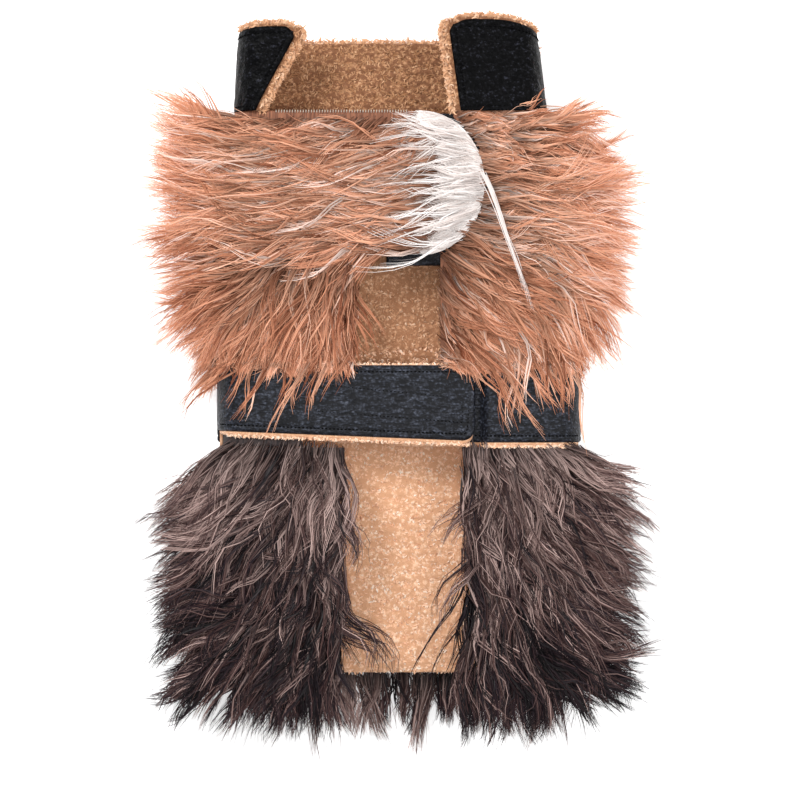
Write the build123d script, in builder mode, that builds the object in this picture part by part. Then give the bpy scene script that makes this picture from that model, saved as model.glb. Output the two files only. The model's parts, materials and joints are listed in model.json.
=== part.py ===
import os

from build123d import *

# A dog's winter coat in long faux fur, lying on its back and closed over itself.
# +Z is up and +Y runs from the hem to the collar. The body is a flattened tube: its back
# lies on the ground, and its two sides fold up at the fold lines and over to the front.
# All sizes are in millimetres.

# Flattened tube
waist_half_width = 124.0    # fold lines from the middle, at the waist
neck_half_width_left = 116.0
neck_half_width_right = 104.0
hem_y = -199.0
neck_y = 196.0
turn_gap = 0.2              # half the gap between a side and the back, at a fold line
panel_gap = 0.6             # along Y, between pieces that open separately

# Cloth: pile, its knitted backing, and the lining under it
body_radius = 18.0          # backing's outside from the fold line, through the bend
backing = 2.0
lining = 6.0
pile = 10.0
fold_height = body_radius + pile    # fold lines above the ground, which the pile rests on
pile_over_bend = 8.0        # how far the pile reaches over the bend

# Waist belt
belt_low_y = -39.0
belt_high_y = 18.0
belt_leather = 1.6
belt_lining = 2.4
belt_lining_edge = 3.0      # how far the belt's lining shows below the leather
belt_left_end_x = 53.0
belt_left_low_y = -30.0
belt_right_low_y = -36.0
belt_right_end_x = -8.0
belt_slope = 5.0            # how much lower the left strap's edge is at its tip
belt_corner = 7.0
tape = 1.1                  # hook tape, and loop tape
tape_gap = 0.4
tape_low_y = -27.0
tape_high_y = 7.0
belt_tape_left_x = -50.0
belt_tape_margin = 7.0      # from the strap's end to its tape
belt_step = 6.0             # where the right strap steps down under the left one
belt_step_clearance = 3.0
belt_step_lead = 1.5
waist_panel_clearance = 6.0

# Chest and shoulders
chest_low_y = belt_high_y + panel_gap
chest_left_edge_x = -31.0
chest_right_edge_x = 29.0
flap_low_y = 95.0
flap_centre_x = 14.0
flap_reach = 46.0
flap_gap = 2.0
tip_left_x = -4.0           # where the flap's pale long pile starts
underlap_end_x = -9.0
underlap_low_y = 88.0
underlap_high_y = 195.0
underlap_leather = 1.6
underlap_seam = 5.0         # from the bend to the seam that holds the underlap
tape_margin = 16.0          # from the flap's tip to its tape
chest_tape_left_x = 0.0
chest_tape_low_y = 112.0
chest_tape_high_y = 180.0

# Skirt
skirt_left_edge_x = -38.0
skirt_right_edge_x = 44.0
skirt_edge_slope = 12.0
fringe = 64.0               # long pile past the hem
fringe_thick = 10.0

# Collar
collar_radius = 22.0
collar_leather = 1.8
collar_lining = 6.0
collar_back_y = 244.0
collar_edge = 7.0           # how far the lining shows beyond the collar leather
collar_top_edge = 3.0       # and above it
collar_fall = 13.0          # from the tip down to the fold
collar_left_foot_x = -101.0
collar_left_tip_x = -70.0
collar_left_top_y = 257.0
collar_right_foot_x = 43.0
collar_right_tip_x = 34.0
collar_right_top_y = 263.0

# Long fur that stands out past the fold lines
side_root = 17.0            # half its height at the fold line
side_tip = 7.0              # and at its tips
side_reach_chest_left = 59.0
side_reach_chest_right = 50.0
side_reach_skirt_left = 48.0
side_reach_skirt_right = 59.0

LEFT, RIGHT = -1, 1
fold_bend = waist_half_width - body_radius
far = 400.0                 # longer than the coat, for cuts that run right across

os.makedirs("parts", exist_ok=True)


def section(y):
    """The XZ plane at y, seen from the hem, with +X to the right and +Z up."""
    return Plane(origin=(0, y, fold_height), x_dir=(1, 0, 0), z_dir=(0, -1, 0))


def neck_half_width(side):
    return neck_half_width_left if side == LEFT else neck_half_width_right


def fold_run(side):
    """Direction of a fold line from the waist to the neck."""
    across = side * (neck_half_width(side) - waist_half_width)
    return Vector(across, neck_y - chest_low_y, 0)


def fold_x(side, y):
    """Where a fold line is, at y."""
    run = fold_run(side)
    return side * waist_half_width + run.X * max(y - chest_low_y, 0) / run.Y


def half_ring(side, bend, outer, inner, top, reach):
    """Sketch of one side of a cloth layer: a flat stretch that turns to the fold line.
    The layer lies between two radii about the bend, above the fold line if top."""
    up = 1 if top else -1
    with Locations((bend, 0)):
        Circle(outer)
        Circle(inner, mode=Mode.SUBTRACT)
    with Locations((bend - side * far / 2, 0)):
        Rectangle(far, 2 * outer, mode=Mode.SUBTRACT)
    with Locations((bend, -up * (far / 2 - turn_gap))):
        Rectangle(far, far, mode=Mode.SUBTRACT)
    flat = abs(bend - reach)
    with Locations(((bend + reach) / 2, up * (outer + inner) / 2)):
        Rectangle(flat, outer - inner)


def pile_block(side, bend, top, reach):
    """Sketch of the pile that stands on a layer's flat stretch."""
    end = bend + side * pile_over_bend
    up = 1 if top else -1
    with Locations(((end + reach) / 2, up * (body_radius + pile / 2))):
        Rectangle(abs(end - reach), pile)


def sweep_side(side, low, high):
    """Extrudes the pending section from y low to y high, along its fold line."""
    run = fold_run(side) if low >= chest_low_y else Vector(0, 1, 0)
    along = run * ((high - low) / run.Y)
    extrude(amount=along.length, dir=along)


def keep_outline(outline):
    """Cuts the part to an outline seen from above."""
    with BuildSketch(Plane.XY.offset(-far)) as kept:
        outline()
    extrude(kept.sketch, amount=2 * far, mode=Mode.INTERSECT)


def save(piece, label):
    piece.part.label = label
    export_step(piece.part, f"parts/{label}.step")


def back_layer(label, outer, inner, low, high, bend_radius=body_radius, pile_from=None):
    """A layer of the back, with both of its sides turned up to the fold lines."""
    with BuildPart() as layer:
        for side in (LEFT, RIGHT):
            bend = fold_x(side, low) - side * bend_radius
            with BuildSketch(section(low)):
                half_ring(side, bend, outer, inner, False, 0)
            sweep_side(side, low, high)
            if pile_from is not None:
                with BuildSketch(section(pile_from[0])):
                    pile_block(side, bend, False, 0)
                sweep_side(side, *pile_from)
    save(layer, label)


def side_layer(label, side, outer, inner, low, high, outline, bend_radius=body_radius, piled=False):
    """A layer of a side that folds over to the front, cut to an outline seen from above."""
    reach = -side * waist_half_width
    bend = fold_x(side, low) - side * bend_radius
    with BuildPart() as layer:
        with BuildSketch(section(low)):
            half_ring(side, bend, outer, inner, True, reach)
        sweep_side(side, low, high)
        if piled:
            with BuildSketch(section(low)):
                pile_block(side, bend, True, reach)
            sweep_side(side, low, high)
        keep_outline(outline)
    save(layer, label)


def block(label, x_range, y_range, z_range):
    """A flat rectangular piece."""
    with BuildPart() as piece:
        with BuildSketch(Plane.XY.offset(z_range[0])):
            with Locations((sum(x_range) / 2, sum(y_range) / 2)):
                Rectangle(x_range[1] - x_range[0], y_range[1] - y_range[0])
        extrude(amount=z_range[1] - z_range[0])
    save(piece, label)


def side_fur(label, side, reach, low, high):
    """Long fur past a fold line: thick at the fold, thin at the tips."""
    fold = fold_x(side, low) + side * turn_gap
    with BuildPart() as fur:
        with BuildSketch(section(low)):
            with BuildLine():
                Polyline(
                    (fold, -side_root),
                    (fold + side * reach, -side_tip),
                    (fold + side * reach, side_tip),
                    (fold, side_root),
                    close=True,
                )
            make_face()
        sweep_side(side, low, high)
    save(fur, label)


def slab_outline(*points):
    with BuildLine() as edge:
        Polyline(*points, close=True)
    make_face(edge.edges())


# Outlines seen from above


def flap_outline(grow=0.0):
    """The chest flap, which ends in half an ellipse across the wearer's chest."""
    middle = (flap_low_y + neck_y) / 2
    half = (neck_y - flap_low_y) / 2 + grow
    with Locations((flap_centre_x - far / 2, middle)):
        Rectangle(far, 2 * half)
    with Locations((flap_centre_x, middle)):
        Ellipse(flap_reach + grow, half)


def chest_left_outline():
    flap_outline()
    with Locations((chest_left_edge_x - far / 2, (chest_low_y + neck_y) / 2)):
        Rectangle(far, neck_y - chest_low_y)


def chest_left_body_outline():
    """The left chest without the flap's pale tip."""
    chest_left_outline()
    with Locations((tip_left_x + far / 2, 0)):
        Rectangle(far, 2 * far, mode=Mode.SUBTRACT)


def flap_tip_outline():
    chest_left_outline()
    with Locations((tip_left_x - far / 2, 0)):
        Rectangle(far, 2 * far, mode=Mode.SUBTRACT)


def chest_right_outline():
    with Locations((chest_right_edge_x + far / 2, (chest_low_y + neck_y) / 2)):
        Rectangle(far, neck_y - chest_low_y)
    with BuildSketch(mode=Mode.PRIVATE) as flap:
        flap_outline(flap_gap)
    add(flap.sketch, mode=Mode.SUBTRACT)


def skirt_outline(side, edge):
    """A skirt side, whose front edge slopes away from the middle towards the hem."""
    top = belt_low_y - panel_gap
    slab_outline(
        (edge, top), (side * far, top), (side * far, hem_y), (edge + side * skirt_edge_slope, hem_y)
    )


def strap_outline(side, end, low, tip_low):
    """A belt strap with rounded corners at its end. Its lower edge may slope."""
    slab_outline(
        (end, belt_high_y),
        (side * far, belt_high_y),
        (side * far, low),
        (side * waist_half_width, low),
        (end, tip_low),
    )
    fillet([corner for corner in vertices() if abs(corner.X - end) < 1], belt_corner)


def waist_outline(side):
    with Locations((side * (waist_panel_edge_x + far / 2), (belt_low_y + belt_high_y) / 2)):
        Rectangle(far, belt_high_y - belt_low_y)


def collar_outline(side, foot_x, tip_x, tip_y, shoulder_y):
    """A collar end: its front edge leans from foot to tip, and its top falls to the fold."""
    outside = side * waist_half_width
    slab_outline(
        (foot_x, neck_y),
        (tip_x, tip_y),
        ((tip_x + 2 * side * neck_half_width(side)) / 3, tip_y),
        (outside, shoulder_y),
        (outside, neck_y),
    )


# The back, which lies on the ground

hide_inner = body_radius - backing
lining_inner = hide_inner - lining
belt_outer = body_radius + belt_lining + belt_leather
belt_middle = body_radius + belt_lining

back_layer("back_upper_fur", body_radius, hide_inner, chest_low_y, neck_y, pile_from=(chest_low_y, neck_y))
back_layer("back_lower_fur", body_radius, hide_inner, hem_y, chest_low_y, pile_from=(hem_y, belt_low_y))
back_layer("back_upper_lining", hide_inner, lining_inner, chest_low_y, neck_y)
back_layer("back_lower_lining", hide_inner, lining_inner, hem_y, chest_low_y)
block(
    "back_fringe",
    (-fold_bend, fold_bend),
    (hem_y - fringe, hem_y),
    (0, pile + backing),
)
back_layer("belt_back_leather", belt_outer, belt_middle, belt_right_low_y, belt_high_y)
back_layer("belt_back_lining", belt_middle, body_radius, belt_low_y, belt_high_y)
collar_middle = collar_radius - collar_leather
collar_inner = collar_middle - collar_lining
back_layer(
    "collar_back_leather", collar_radius, collar_middle, neck_y, collar_back_y, collar_radius
)
back_layer(
    "collar_back_lining",
    collar_middle,
    collar_inner,
    neck_y,
    collar_back_y + collar_edge,
    collar_radius,
)

# Chest sides, with the collar's ends

lap_top = fold_height + lining_inner - 2 * tape - tape_gap
chest_tape_right_x = flap_centre_x + flap_reach - tape_margin
side_layer(
    "chest_left_fur", LEFT, body_radius, hide_inner, chest_low_y, neck_y, chest_left_body_outline, piled=True
)
side_layer(
    "flap_tip_fur", LEFT, body_radius, hide_inner, chest_low_y, neck_y, flap_tip_outline, piled=True
)
side_layer(
    "chest_left_lining", LEFT, hide_inner, lining_inner, chest_low_y, neck_y, chest_left_outline
)
block(
    "chest_hook_tape",
    (chest_tape_left_x, chest_tape_right_x),
    (chest_tape_low_y, chest_tape_high_y),
    (fold_height + lining_inner - tape, fold_height + lining_inner),
)
side_layer(
    "chest_right_fur", RIGHT, body_radius, hide_inner, chest_low_y, neck_y, chest_right_outline, piled=True
)
side_layer(
    "chest_right_lining", RIGHT, hide_inner, lining_inner, chest_low_y, neck_y, chest_right_outline
)
with BuildPart() as underlap:
    with BuildSketch(section(underlap_low_y)):
        hem_x = flap_centre_x + flap_reach + flap_gap + underlap_leather
        underlap_root_x = neck_half_width_right - body_radius - underlap_seam
        lap = lap_top - fold_height
        slab_outline(
            (underlap_root_x, lining_inner),
            (hem_x, lining_inner),
            (hem_x - underlap_leather, lap),
            (underlap_end_x, lap),
            (underlap_end_x, lap - underlap_leather),
            (underlap_root_x, lap - underlap_leather),
        )
    extrude(amount=-(underlap_high_y - underlap_low_y))
save(underlap, "underlap_leather")
block(
    "chest_loop_tape",
    (chest_tape_left_x, chest_tape_right_x),
    (chest_tape_low_y, chest_tape_high_y),
    (lap_top, lap_top + tape),
)
side_fur("chest_left_side_fur", LEFT, side_reach_chest_left, chest_low_y, neck_y)
side_fur("chest_right_side_fur", RIGHT, side_reach_chest_right, chest_low_y, neck_y)

collar_ends = {
    "left": (LEFT, collar_left_foot_x, collar_left_tip_x, collar_left_top_y),
    "right": (RIGHT, collar_right_foot_x, collar_right_tip_x, collar_right_top_y),
}
for name, (side, foot_x, tip_x, top_y) in collar_ends.items():
    shoulder_y = top_y - collar_fall
    side_layer(
        f"collar_{name}_leather",
        side,
        collar_radius,
        collar_middle,
        neck_y,
        top_y,
        lambda: collar_outline(side, foot_x, tip_x, top_y - collar_top_edge, shoulder_y),
        collar_radius,
    )
    side_layer(
        f"collar_{name}_lining",
        side,
        collar_middle,
        collar_inner,
        neck_y,
        top_y,
        lambda: collar_outline(
            side, foot_x - side * collar_edge, tip_x - side * collar_edge, top_y, shoulder_y
        ),
        collar_radius,
    )

# Belt, and the waist under it

belt_tape_right_x = belt_left_end_x - belt_tape_margin
belt_step_x = belt_left_end_x + belt_step_clearance
waist_panel_edge_x = belt_step_x + belt_step + waist_panel_clearance

for name, side in (("left", LEFT), ("right", RIGHT)):
    side_layer(
        f"waist_{name}_fur",
        side,
        body_radius,
        hide_inner,
        belt_low_y,
        belt_high_y,
        lambda: waist_outline(side),
    )
    side_layer(
        f"waist_{name}_lining",
        side,
        hide_inner,
        lining_inner,
        belt_low_y,
        belt_high_y,
        lambda: waist_outline(side),
    )
side_layer(
    "belt_left_leather",
    LEFT,
    belt_outer,
    belt_middle,
    belt_low_y,
    belt_high_y,
    lambda: strap_outline(LEFT, belt_left_end_x, belt_left_low_y, belt_left_low_y - belt_slope),
)
side_layer(
    "belt_left_lining",
    LEFT,
    belt_middle,
    body_radius,
    belt_low_y,
    belt_high_y,
    lambda: strap_outline(
        LEFT,
        belt_left_end_x,
        belt_left_low_y - belt_lining_edge,
        belt_left_low_y - belt_slope - belt_lining_edge,
    ),
)
block(
    "belt_hook_tape",
    (belt_tape_left_x, belt_tape_right_x),
    (tape_low_y, tape_high_y),
    (fold_height + body_radius - tape, fold_height + body_radius),
)


def right_strap(label, outer, inner, low):
    """The right strap: outside at the fold, then down a step to run under the left one."""
    drop = belt_outer - (body_radius - 2 * tape - tape_gap)
    step_x = belt_step_x + belt_outer - outer
    with BuildPart() as strap:
        bend = RIGHT * fold_bend
        with BuildSketch(section(low)):
            half_ring(RIGHT, bend, outer, inner, True, step_x + belt_step)
        sweep_side(RIGHT, low, belt_high_y)
        with BuildSketch(section(low)):
            slab_outline(
                (step_x + belt_step, outer),
                (step_x, outer - drop),
                (belt_right_end_x, outer - drop),
                (belt_right_end_x, inner - drop),
                (step_x + belt_step_lead, inner - drop),
                (step_x + belt_step + belt_step_lead, inner),
            )
        extrude(amount=-(belt_high_y - low))
        keep_outline(lambda: strap_outline(RIGHT, belt_right_end_x, low, low))
    save(strap, label)


right_strap("belt_right_leather", belt_outer, belt_middle, belt_right_low_y)
right_strap("belt_right_lining", belt_middle, body_radius, belt_right_low_y - belt_lining_edge)
loop_top = fold_height + body_radius - tape - tape_gap
block(
    "belt_loop_tape",
    (belt_right_end_x + belt_corner, belt_tape_right_x),
    (tape_low_y, tape_high_y),
    (loop_top - tape, loop_top),
)

# Skirt sides

skirts = {
    "left": (LEFT, skirt_left_edge_x, side_reach_skirt_left),
    "right": (RIGHT, skirt_right_edge_x, side_reach_skirt_right),
}
for name, (side, edge, reach) in skirts.items():
    top = belt_low_y - panel_gap
    layers = {"fur": (body_radius, hide_inner, True), "lining": (hide_inner, lining_inner, False)}
    for layer, (outer, inner, piled) in layers.items():
        side_layer(
            f"skirt_{name}_{layer}",
            side,
            outer,
            inner,
            hem_y,
            top,
            lambda: skirt_outline(side, edge),
            piled=piled,
        )
    side_fur(f"skirt_{name}_side_fur", side, reach, hem_y, top)
    ends = sorted((side * fold_bend, edge + side * skirt_edge_slope))
    block(
        f"skirt_{name}_fringe",
        ends,
        (hem_y - fringe, hem_y),
        (fold_height + hide_inner, fold_height + body_radius + pile),
    )
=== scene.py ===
# %% [markdown]
# A dog's winter coat, lying on its back and seen from straight above. It is made of long
# faux fur in three colours, a curly sherpa lining, and black pebbled leather. The packed
# CAD model is the frame: every piece below takes its place from the CAD nodes' boxes.

# %% Load the frame
import json
import math

import bmesh
import bpy
import numpy as np
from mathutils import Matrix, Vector


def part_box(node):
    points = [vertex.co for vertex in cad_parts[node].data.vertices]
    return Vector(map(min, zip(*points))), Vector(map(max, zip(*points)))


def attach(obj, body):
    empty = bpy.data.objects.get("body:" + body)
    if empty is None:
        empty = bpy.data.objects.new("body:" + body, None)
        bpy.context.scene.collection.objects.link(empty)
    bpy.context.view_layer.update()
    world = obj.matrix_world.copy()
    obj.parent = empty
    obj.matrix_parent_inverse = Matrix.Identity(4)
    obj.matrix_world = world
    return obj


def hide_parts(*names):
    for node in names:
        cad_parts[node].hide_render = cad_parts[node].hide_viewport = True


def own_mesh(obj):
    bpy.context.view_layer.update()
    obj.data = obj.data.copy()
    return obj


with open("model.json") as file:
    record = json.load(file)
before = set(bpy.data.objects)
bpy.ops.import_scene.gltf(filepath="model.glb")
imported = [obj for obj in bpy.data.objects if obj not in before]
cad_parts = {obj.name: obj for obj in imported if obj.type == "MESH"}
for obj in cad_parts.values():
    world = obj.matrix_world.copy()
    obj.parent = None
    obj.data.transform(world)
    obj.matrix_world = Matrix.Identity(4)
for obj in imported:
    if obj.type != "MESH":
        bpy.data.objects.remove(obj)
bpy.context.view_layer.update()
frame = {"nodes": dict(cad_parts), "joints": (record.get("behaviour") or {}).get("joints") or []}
MM = 0.001
TAU = 2 * math.pi

# %% [markdown]
# The coat's body is a flattened tube. A point on it has a place s along its section, from
# the fold line towards the middle, and a place y from hem to collar. These few sizes, read
# from the frame in millimetres, say where every cloth lies.

# %% The flattened tube


def box_mm(node):
    """Lowest and highest corner of a CAD node, in millimetres."""
    low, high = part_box(node)
    return np.array(low) / MM, np.array(high) / MM


def fold_line(joint_name):
    """A hinge's place and direction: its line is the fold, a point plus y times a slope."""
    joint = next(j for j in frame["joints"] if j["name"] == joint_name)
    place = np.array(joint["pos_m"]) / MM
    slope = joint["axis"][0] / joint["axis"][1]
    return place, slope


LEFT, RIGHT = -1, 1
FOLD_Z = fold_line("chest_left_fold")[0][2]
WAIST_X = box_mm("back_lower_fur")[1][0]
HEM_Y = box_mm("back_lower_fur")[0][1]
NECK_Y = box_mm("back_upper_fur")[1][1]
CHEST_Y = box_mm("back_upper_fur")[0][1]
SKIRT_Y = box_mm("skirt_left_fur")[1][1]
BACKING, LINING, BELT_LEATHER, COLLAR_LEATHER = 2.0, 6.0, 1.6, 1.8
HIDE_R = box_mm("waist_left_fur")[1][2] - FOLD_Z
LINING_IN_R = box_mm("waist_left_lining")[1][2] - FOLD_Z - LINING
CHEST_SLOPE = {LEFT: fold_line("chest_left_fold")[1], RIGHT: fold_line("chest_right_fold")[1]}
print("fold height", FOLD_Z, "waist half width", WAIST_X, "hide radius", HIDE_R)


def fold_x(side, y):
    """Where the fold line is, at y: straight at the skirt, leaning inwards up the chest."""
    return side * WAIST_X + CHEST_SLOPE[side] * np.maximum(np.asarray(y, float) - CHEST_Y, 0)


def on_tube(side, top, s, y, r, bend_r=None):
    """Points on the section: a quarter circle of radius r from the fold line, then flat.
    s is measured along the hide, and r from the bend's centre, so r picks the layer."""
    bend_r = HIDE_R if bend_r is None else bend_r
    turn = np.clip(s / bend_r, 0, math.pi / 2)
    flat = np.maximum(s - bend_r * math.pi / 2, 0)
    x = fold_x(side, y) - side * bend_r + side * (r * np.cos(turn) - flat)
    up = 1 if top else -1
    return np.stack(np.broadcast_arrays(x, y, FOLD_Z + up * r * np.sin(turn)), -1)


def tube_normal(side, top, s, bend_r=None):
    """Outward direction of the section at s."""
    bend_r = HIDE_R if bend_r is None else bend_r
    turn = np.clip(s / bend_r, 0, math.pi / 2)
    up = 1 if top else -1
    return np.stack(np.broadcast_arrays(side * np.cos(turn), 0 * turn, up * np.sin(turn)), -1)


# %% [markdown]
# Every new piece is an array of points put into a mesh in one go. `put_mesh` takes points
# in millimetres, and `sheet_between` closes two matching grids into a thin solid.

# %% Mesh makers


def put_mesh(name, points, faces, uv=None):
    """A mesh object from points in millimetres, faces as rows of four, and a UV per corner."""
    mesh = bpy.data.meshes.new(name)
    faces = np.asarray(faces, np.int32)
    mesh.vertices.add(len(points))
    mesh.vertices.foreach_set("co", (np.asarray(points) * MM).astype(np.float32).ravel())
    mesh.loops.add(faces.size)
    mesh.loops.foreach_set("vertex_index", faces.ravel())
    mesh.polygons.add(len(faces))
    mesh.polygons.foreach_set("loop_start", np.arange(0, faces.size, 4, dtype=np.int32))
    mesh.polygons.foreach_set("use_smooth", np.full(len(faces), True))
    if uv is not None:
        layer = mesh.uv_layers.new(name="OFBake", do_init=False)
        layer.uv.foreach_set("vector", np.asarray(uv, np.float32)[faces.ravel()].ravel())
    mesh.update(calc_edges=True)
    mesh.validate()
    piece = bpy.data.objects.new(name, mesh)
    bpy.context.scene.collection.objects.link(piece)
    return piece


def grid_faces(rows, columns, start=0):
    """Quads of a grid of points stored row by row."""
    i, j = np.meshgrid(np.arange(rows - 1), np.arange(columns - 1), indexing="ij")
    a = start + i * columns + j
    return np.stack([a, a + 1, a + columns + 1, a + columns], -1).reshape(-1, 4)


def rim_faces(rows, columns, offset):
    """Quads between the borders of two stacked grids, the second one offset points on."""
    index = np.arange(rows * columns).reshape(rows, columns)
    loop = np.concatenate([index[0, :-1], index[:-1, -1], index[-1, :0:-1], index[:0:-1, 0]])
    nxt = np.roll(loop, -1)
    return np.stack([loop, loop + offset, nxt + offset, nxt], -1)


def outwards(piece):
    """Merges doubles and turns every face of a closed piece outwards."""
    work = bmesh.new()
    work.from_mesh(piece.data)
    bmesh.ops.remove_doubles(work, verts=work.verts, dist=1e-6)
    bmesh.ops.recalc_face_normals(work, faces=work.faces)
    work.to_mesh(piece.data)
    work.free()
    return piece


def sheet_between(name, front, back):
    """A closed sheet: two grids of the same shape, joined round their borders."""
    rows, columns = front.shape[:2]
    points = np.concatenate([front.reshape(-1, 3), back.reshape(-1, 3)])
    faces = np.concatenate(
        [grid_faces(rows, columns), grid_faces(rows, columns, rows * columns)[:, ::-1],
         rim_faces(rows, columns, rows * columns)]
    )
    return outwards(put_mesh(name, points, faces))


def smoothstep(a, b, x):
    """0 before a, 1 after b, and an S curve between."""
    t = np.clip((np.asarray(x, float) - a) / (b - a), 0, 1)
    return t * t * (3 - 2 * t)


def waves(x, y, scale, seed, octaves=3):
    """Smooth noise from -1 to 1: a sum of sine waves in random directions, in millimetres."""
    rng = np.random.default_rng(seed)
    total, weight = 0.0, 0.0
    for octave in range(octaves):
        size = scale / 1.9**octave
        for wave in range(4):
            a, p = rng.uniform(0, TAU, 2)
            k = TAU / (size * rng.uniform(0.8, 1.3))
            total = total + np.sin(k * (x * math.cos(a) + y * math.sin(a)) + p) * 0.6**octave
        weight += 2.0 * 0.6**octave
    return np.clip(total / weight, -1, 1)


# %% [markdown]
# Materials are short node trees, and one small function adds each node with its settings
# and its links. Colours are written as sRGB hex, and sizes as real millimetres.

# %% Material helpers


def linear(hex_colour):
    """sRGB hex to the linear colour that shaders read."""
    values = [int(hex_colour[i : i + 2], 16) / 255 for i in (1, 3, 5)]
    return [v / 12.92 if v <= 0.04045 else ((v + 0.055) / 1.055) ** 2.4 for v in values] + [1]


def node(tree, kind, settings=None, **links):
    """Adds a shader node: settings go on it or its sockets, and links join sockets to its
    inputs. A link's keyword is the input's name, or its number after an i."""
    made = tree.nodes.new("ShaderNode" + kind)
    for key, value in (settings or {}).items():
        if key == "ramp":
            stops = made.color_ramp.elements
            while len(stops) < len(value):
                stops.new(1.0)
            for stop, (place, colour) in zip(stops, value):
                stop.position = place
                stop.color = linear(colour) if isinstance(colour, str) else [colour] * 3 + [1]
        elif isinstance(key, int) or key in made.inputs:
            made.inputs[key].default_value = value
        else:
            setattr(made, key, value)
    for key, socket in links.items():
        place = int(key[1:]) if key[1:].isdigit() else key.replace("_", " ")
        tree.links.new(socket, made.inputs[place])
    return made


def new_material(name):
    """An empty material with its output node."""
    material = bpy.data.materials.new(name)
    material.use_nodes = True
    material.node_tree.nodes.clear()
    return material, material.node_tree


def finish_material(tree, shader):
    """Joins a shader to the material's output."""
    node(tree, "OutputMaterial", Surface=shader.outputs["BSDF"])


# %% [markdown]
# Faux fur is acrylic or modacrylic fibre: it has a soft shine, and its root is darker because
# no light reaches it. Each hair carries a UV: u is the hair's tone, and v runs from root to
# tip. Both feed colour ramps, so the same rule colours every hair.

# %% Faux fur


def fur_material(name, tones, root, rough=0.5):
    """Acrylic pile: a tone ramp across u, darkened towards the root along v."""
    material, tree = new_material(name)
    uv = node(tree, "UVMap", {"uv_map": "OFBake"})
    parts = node(tree, "SeparateXYZ", Vector=uv.outputs["UV"])
    tone = node(tree, "ValToRGB", {"ramp": tones}, Fac=parts.outputs["X"])
    depth = node(tree, "ValToRGB", {"ramp": root}, Fac=parts.outputs["Y"])
    colour = node(tree, "Mix", {"data_type": "RGBA", "blend_type": "MULTIPLY", "Factor": 1.0},
                  i6=tone.outputs["Color"], i7=depth.outputs["Color"])
    shader = node(tree, "BsdfPrincipled",
                  {"Roughness": rough, "IOR": 1.5, "Specular IOR Level": 0.15})
    tree.links.new(colour.outputs[2], shader.inputs["Base Color"])
    finish_material(tree, shader)
    return material


CAMEL_TONES = [(0.0, "#7c3f26"), (0.35, "#cb8867"), (0.68, "#f1b696"), (1.0, "#fde6db")]
BROWN_TONES = [(0.0, "#080406"), (0.3, "#271b22"), (0.6, "#5f4541"), (1.0, "#d2b4ac")]
WHITE_TONES = [(0.0, "#d4bfb5"), (0.4, "#ece1dc"), (1.0, "#fbf7f5")]
FUR_ROOT = [(0.0, 0.15), (0.3, 0.55), (0.65, 1.0), (1.0, 1.0)]
camel_fur = fur_material("camel modacrylic pile", CAMEL_TONES, FUR_ROOT)
brown_fur = fur_material("dark brown modacrylic pile", BROWN_TONES, FUR_ROOT, 0.42)
white_fur = fur_material("white modacrylic pile", WHITE_TONES, [(0.0, 0.85), (0.3, 1.0), (1.0, 1.0)])

# %% [markdown]
# The coat's other stuffs are the knitted backing with pile combed flat on it, curly sherpa
# fleece, leather and thread. Each is one small function of tones and real sizes, so that
# the same fleece or leather can be had lighter, darker, coarser or finer. The backings' dark
# tones and the darker sherpa copies are painted shade, and the leather's pale dome tops are
# painted highlight.

# %% Knitted backing, sherpa, leather and thread


HAIR_MM, CURL_MM = (1.2, 14.0, 1.2), 3.6


def pelt_material(name, tones):
    """Combed-flat pile seen as a mat: noise drawn out along the lie of the hair, in dark tones that are
    painted shade.
    """
    material, tree = new_material(name)
    place = node(tree, "TexCoord")
    stretch = node(tree, "Mapping", {"Scale": [1 / (size * MM) for size in HAIR_MM]},
                   Vector=place.outputs["Object"])
    streaks = node(tree, "TexNoise", {"Scale": 1.0, "Detail": 4.0}, Vector=stretch.outputs["Vector"])
    tone = node(tree, "ValToRGB", {"ramp": tones}, Fac=streaks.outputs["Fac"])
    bump = node(tree, "Bump", {"Strength": 0.8, "Distance": 0.6 * MM},
                Height=streaks.outputs["Fac"])
    shader = node(tree, "BsdfPrincipled", {"Roughness": 0.75, "IOR": 1.5},
                  Base_Color=tone.outputs["Color"], Normal=bump.outputs["Normal"])
    finish_material(tree, shader)
    return material


def sherpa_material(name, deep, middle, high):
    """Brushed polyester sherpa: loops that curl into knots a few millimetres wide. Cells give
    the knots, and fine noise the fibres on them."""
    material, tree = new_material(name)
    place = node(tree, "TexCoord")
    knots = node(tree, "TexVoronoi",
                 {"feature": "SMOOTH_F1", "Scale": 1 / (CURL_MM * MM), "Smoothness": 0.6, "Detail": 1.0},
                 Vector=place.outputs["Object"])
    fibres = node(tree, "TexNoise",
                  {"Scale": 1 / (0.9 * MM), "Detail": 4.0, "Distortion": 1.2},
                  Vector=place.outputs["Object"])
    both = node(tree, "Math", {"operation": "MULTIPLY_ADD", 1: -0.7},
                i0=knots.outputs["Distance"], i2=fibres.outputs["Fac"])
    tone = node(tree, "ValToRGB", {"ramp": [(0.0, deep), (0.22, middle), (0.5, high)]},
                Fac=both.outputs["Value"])
    bump = node(tree, "Bump", {"Strength": 0.7, "Distance": 1.0 * MM}, Height=both.outputs["Value"])
    shader = node(tree, "BsdfPrincipled",
                  {"Roughness": 0.9, "IOR": 1.5, "Sheen Weight": 0.25, "Sheen Roughness": 0.5},
                  Base_Color=tone.outputs["Color"], Normal=bump.outputs["Normal"])
    finish_material(tree, shader)
    return material


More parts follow.
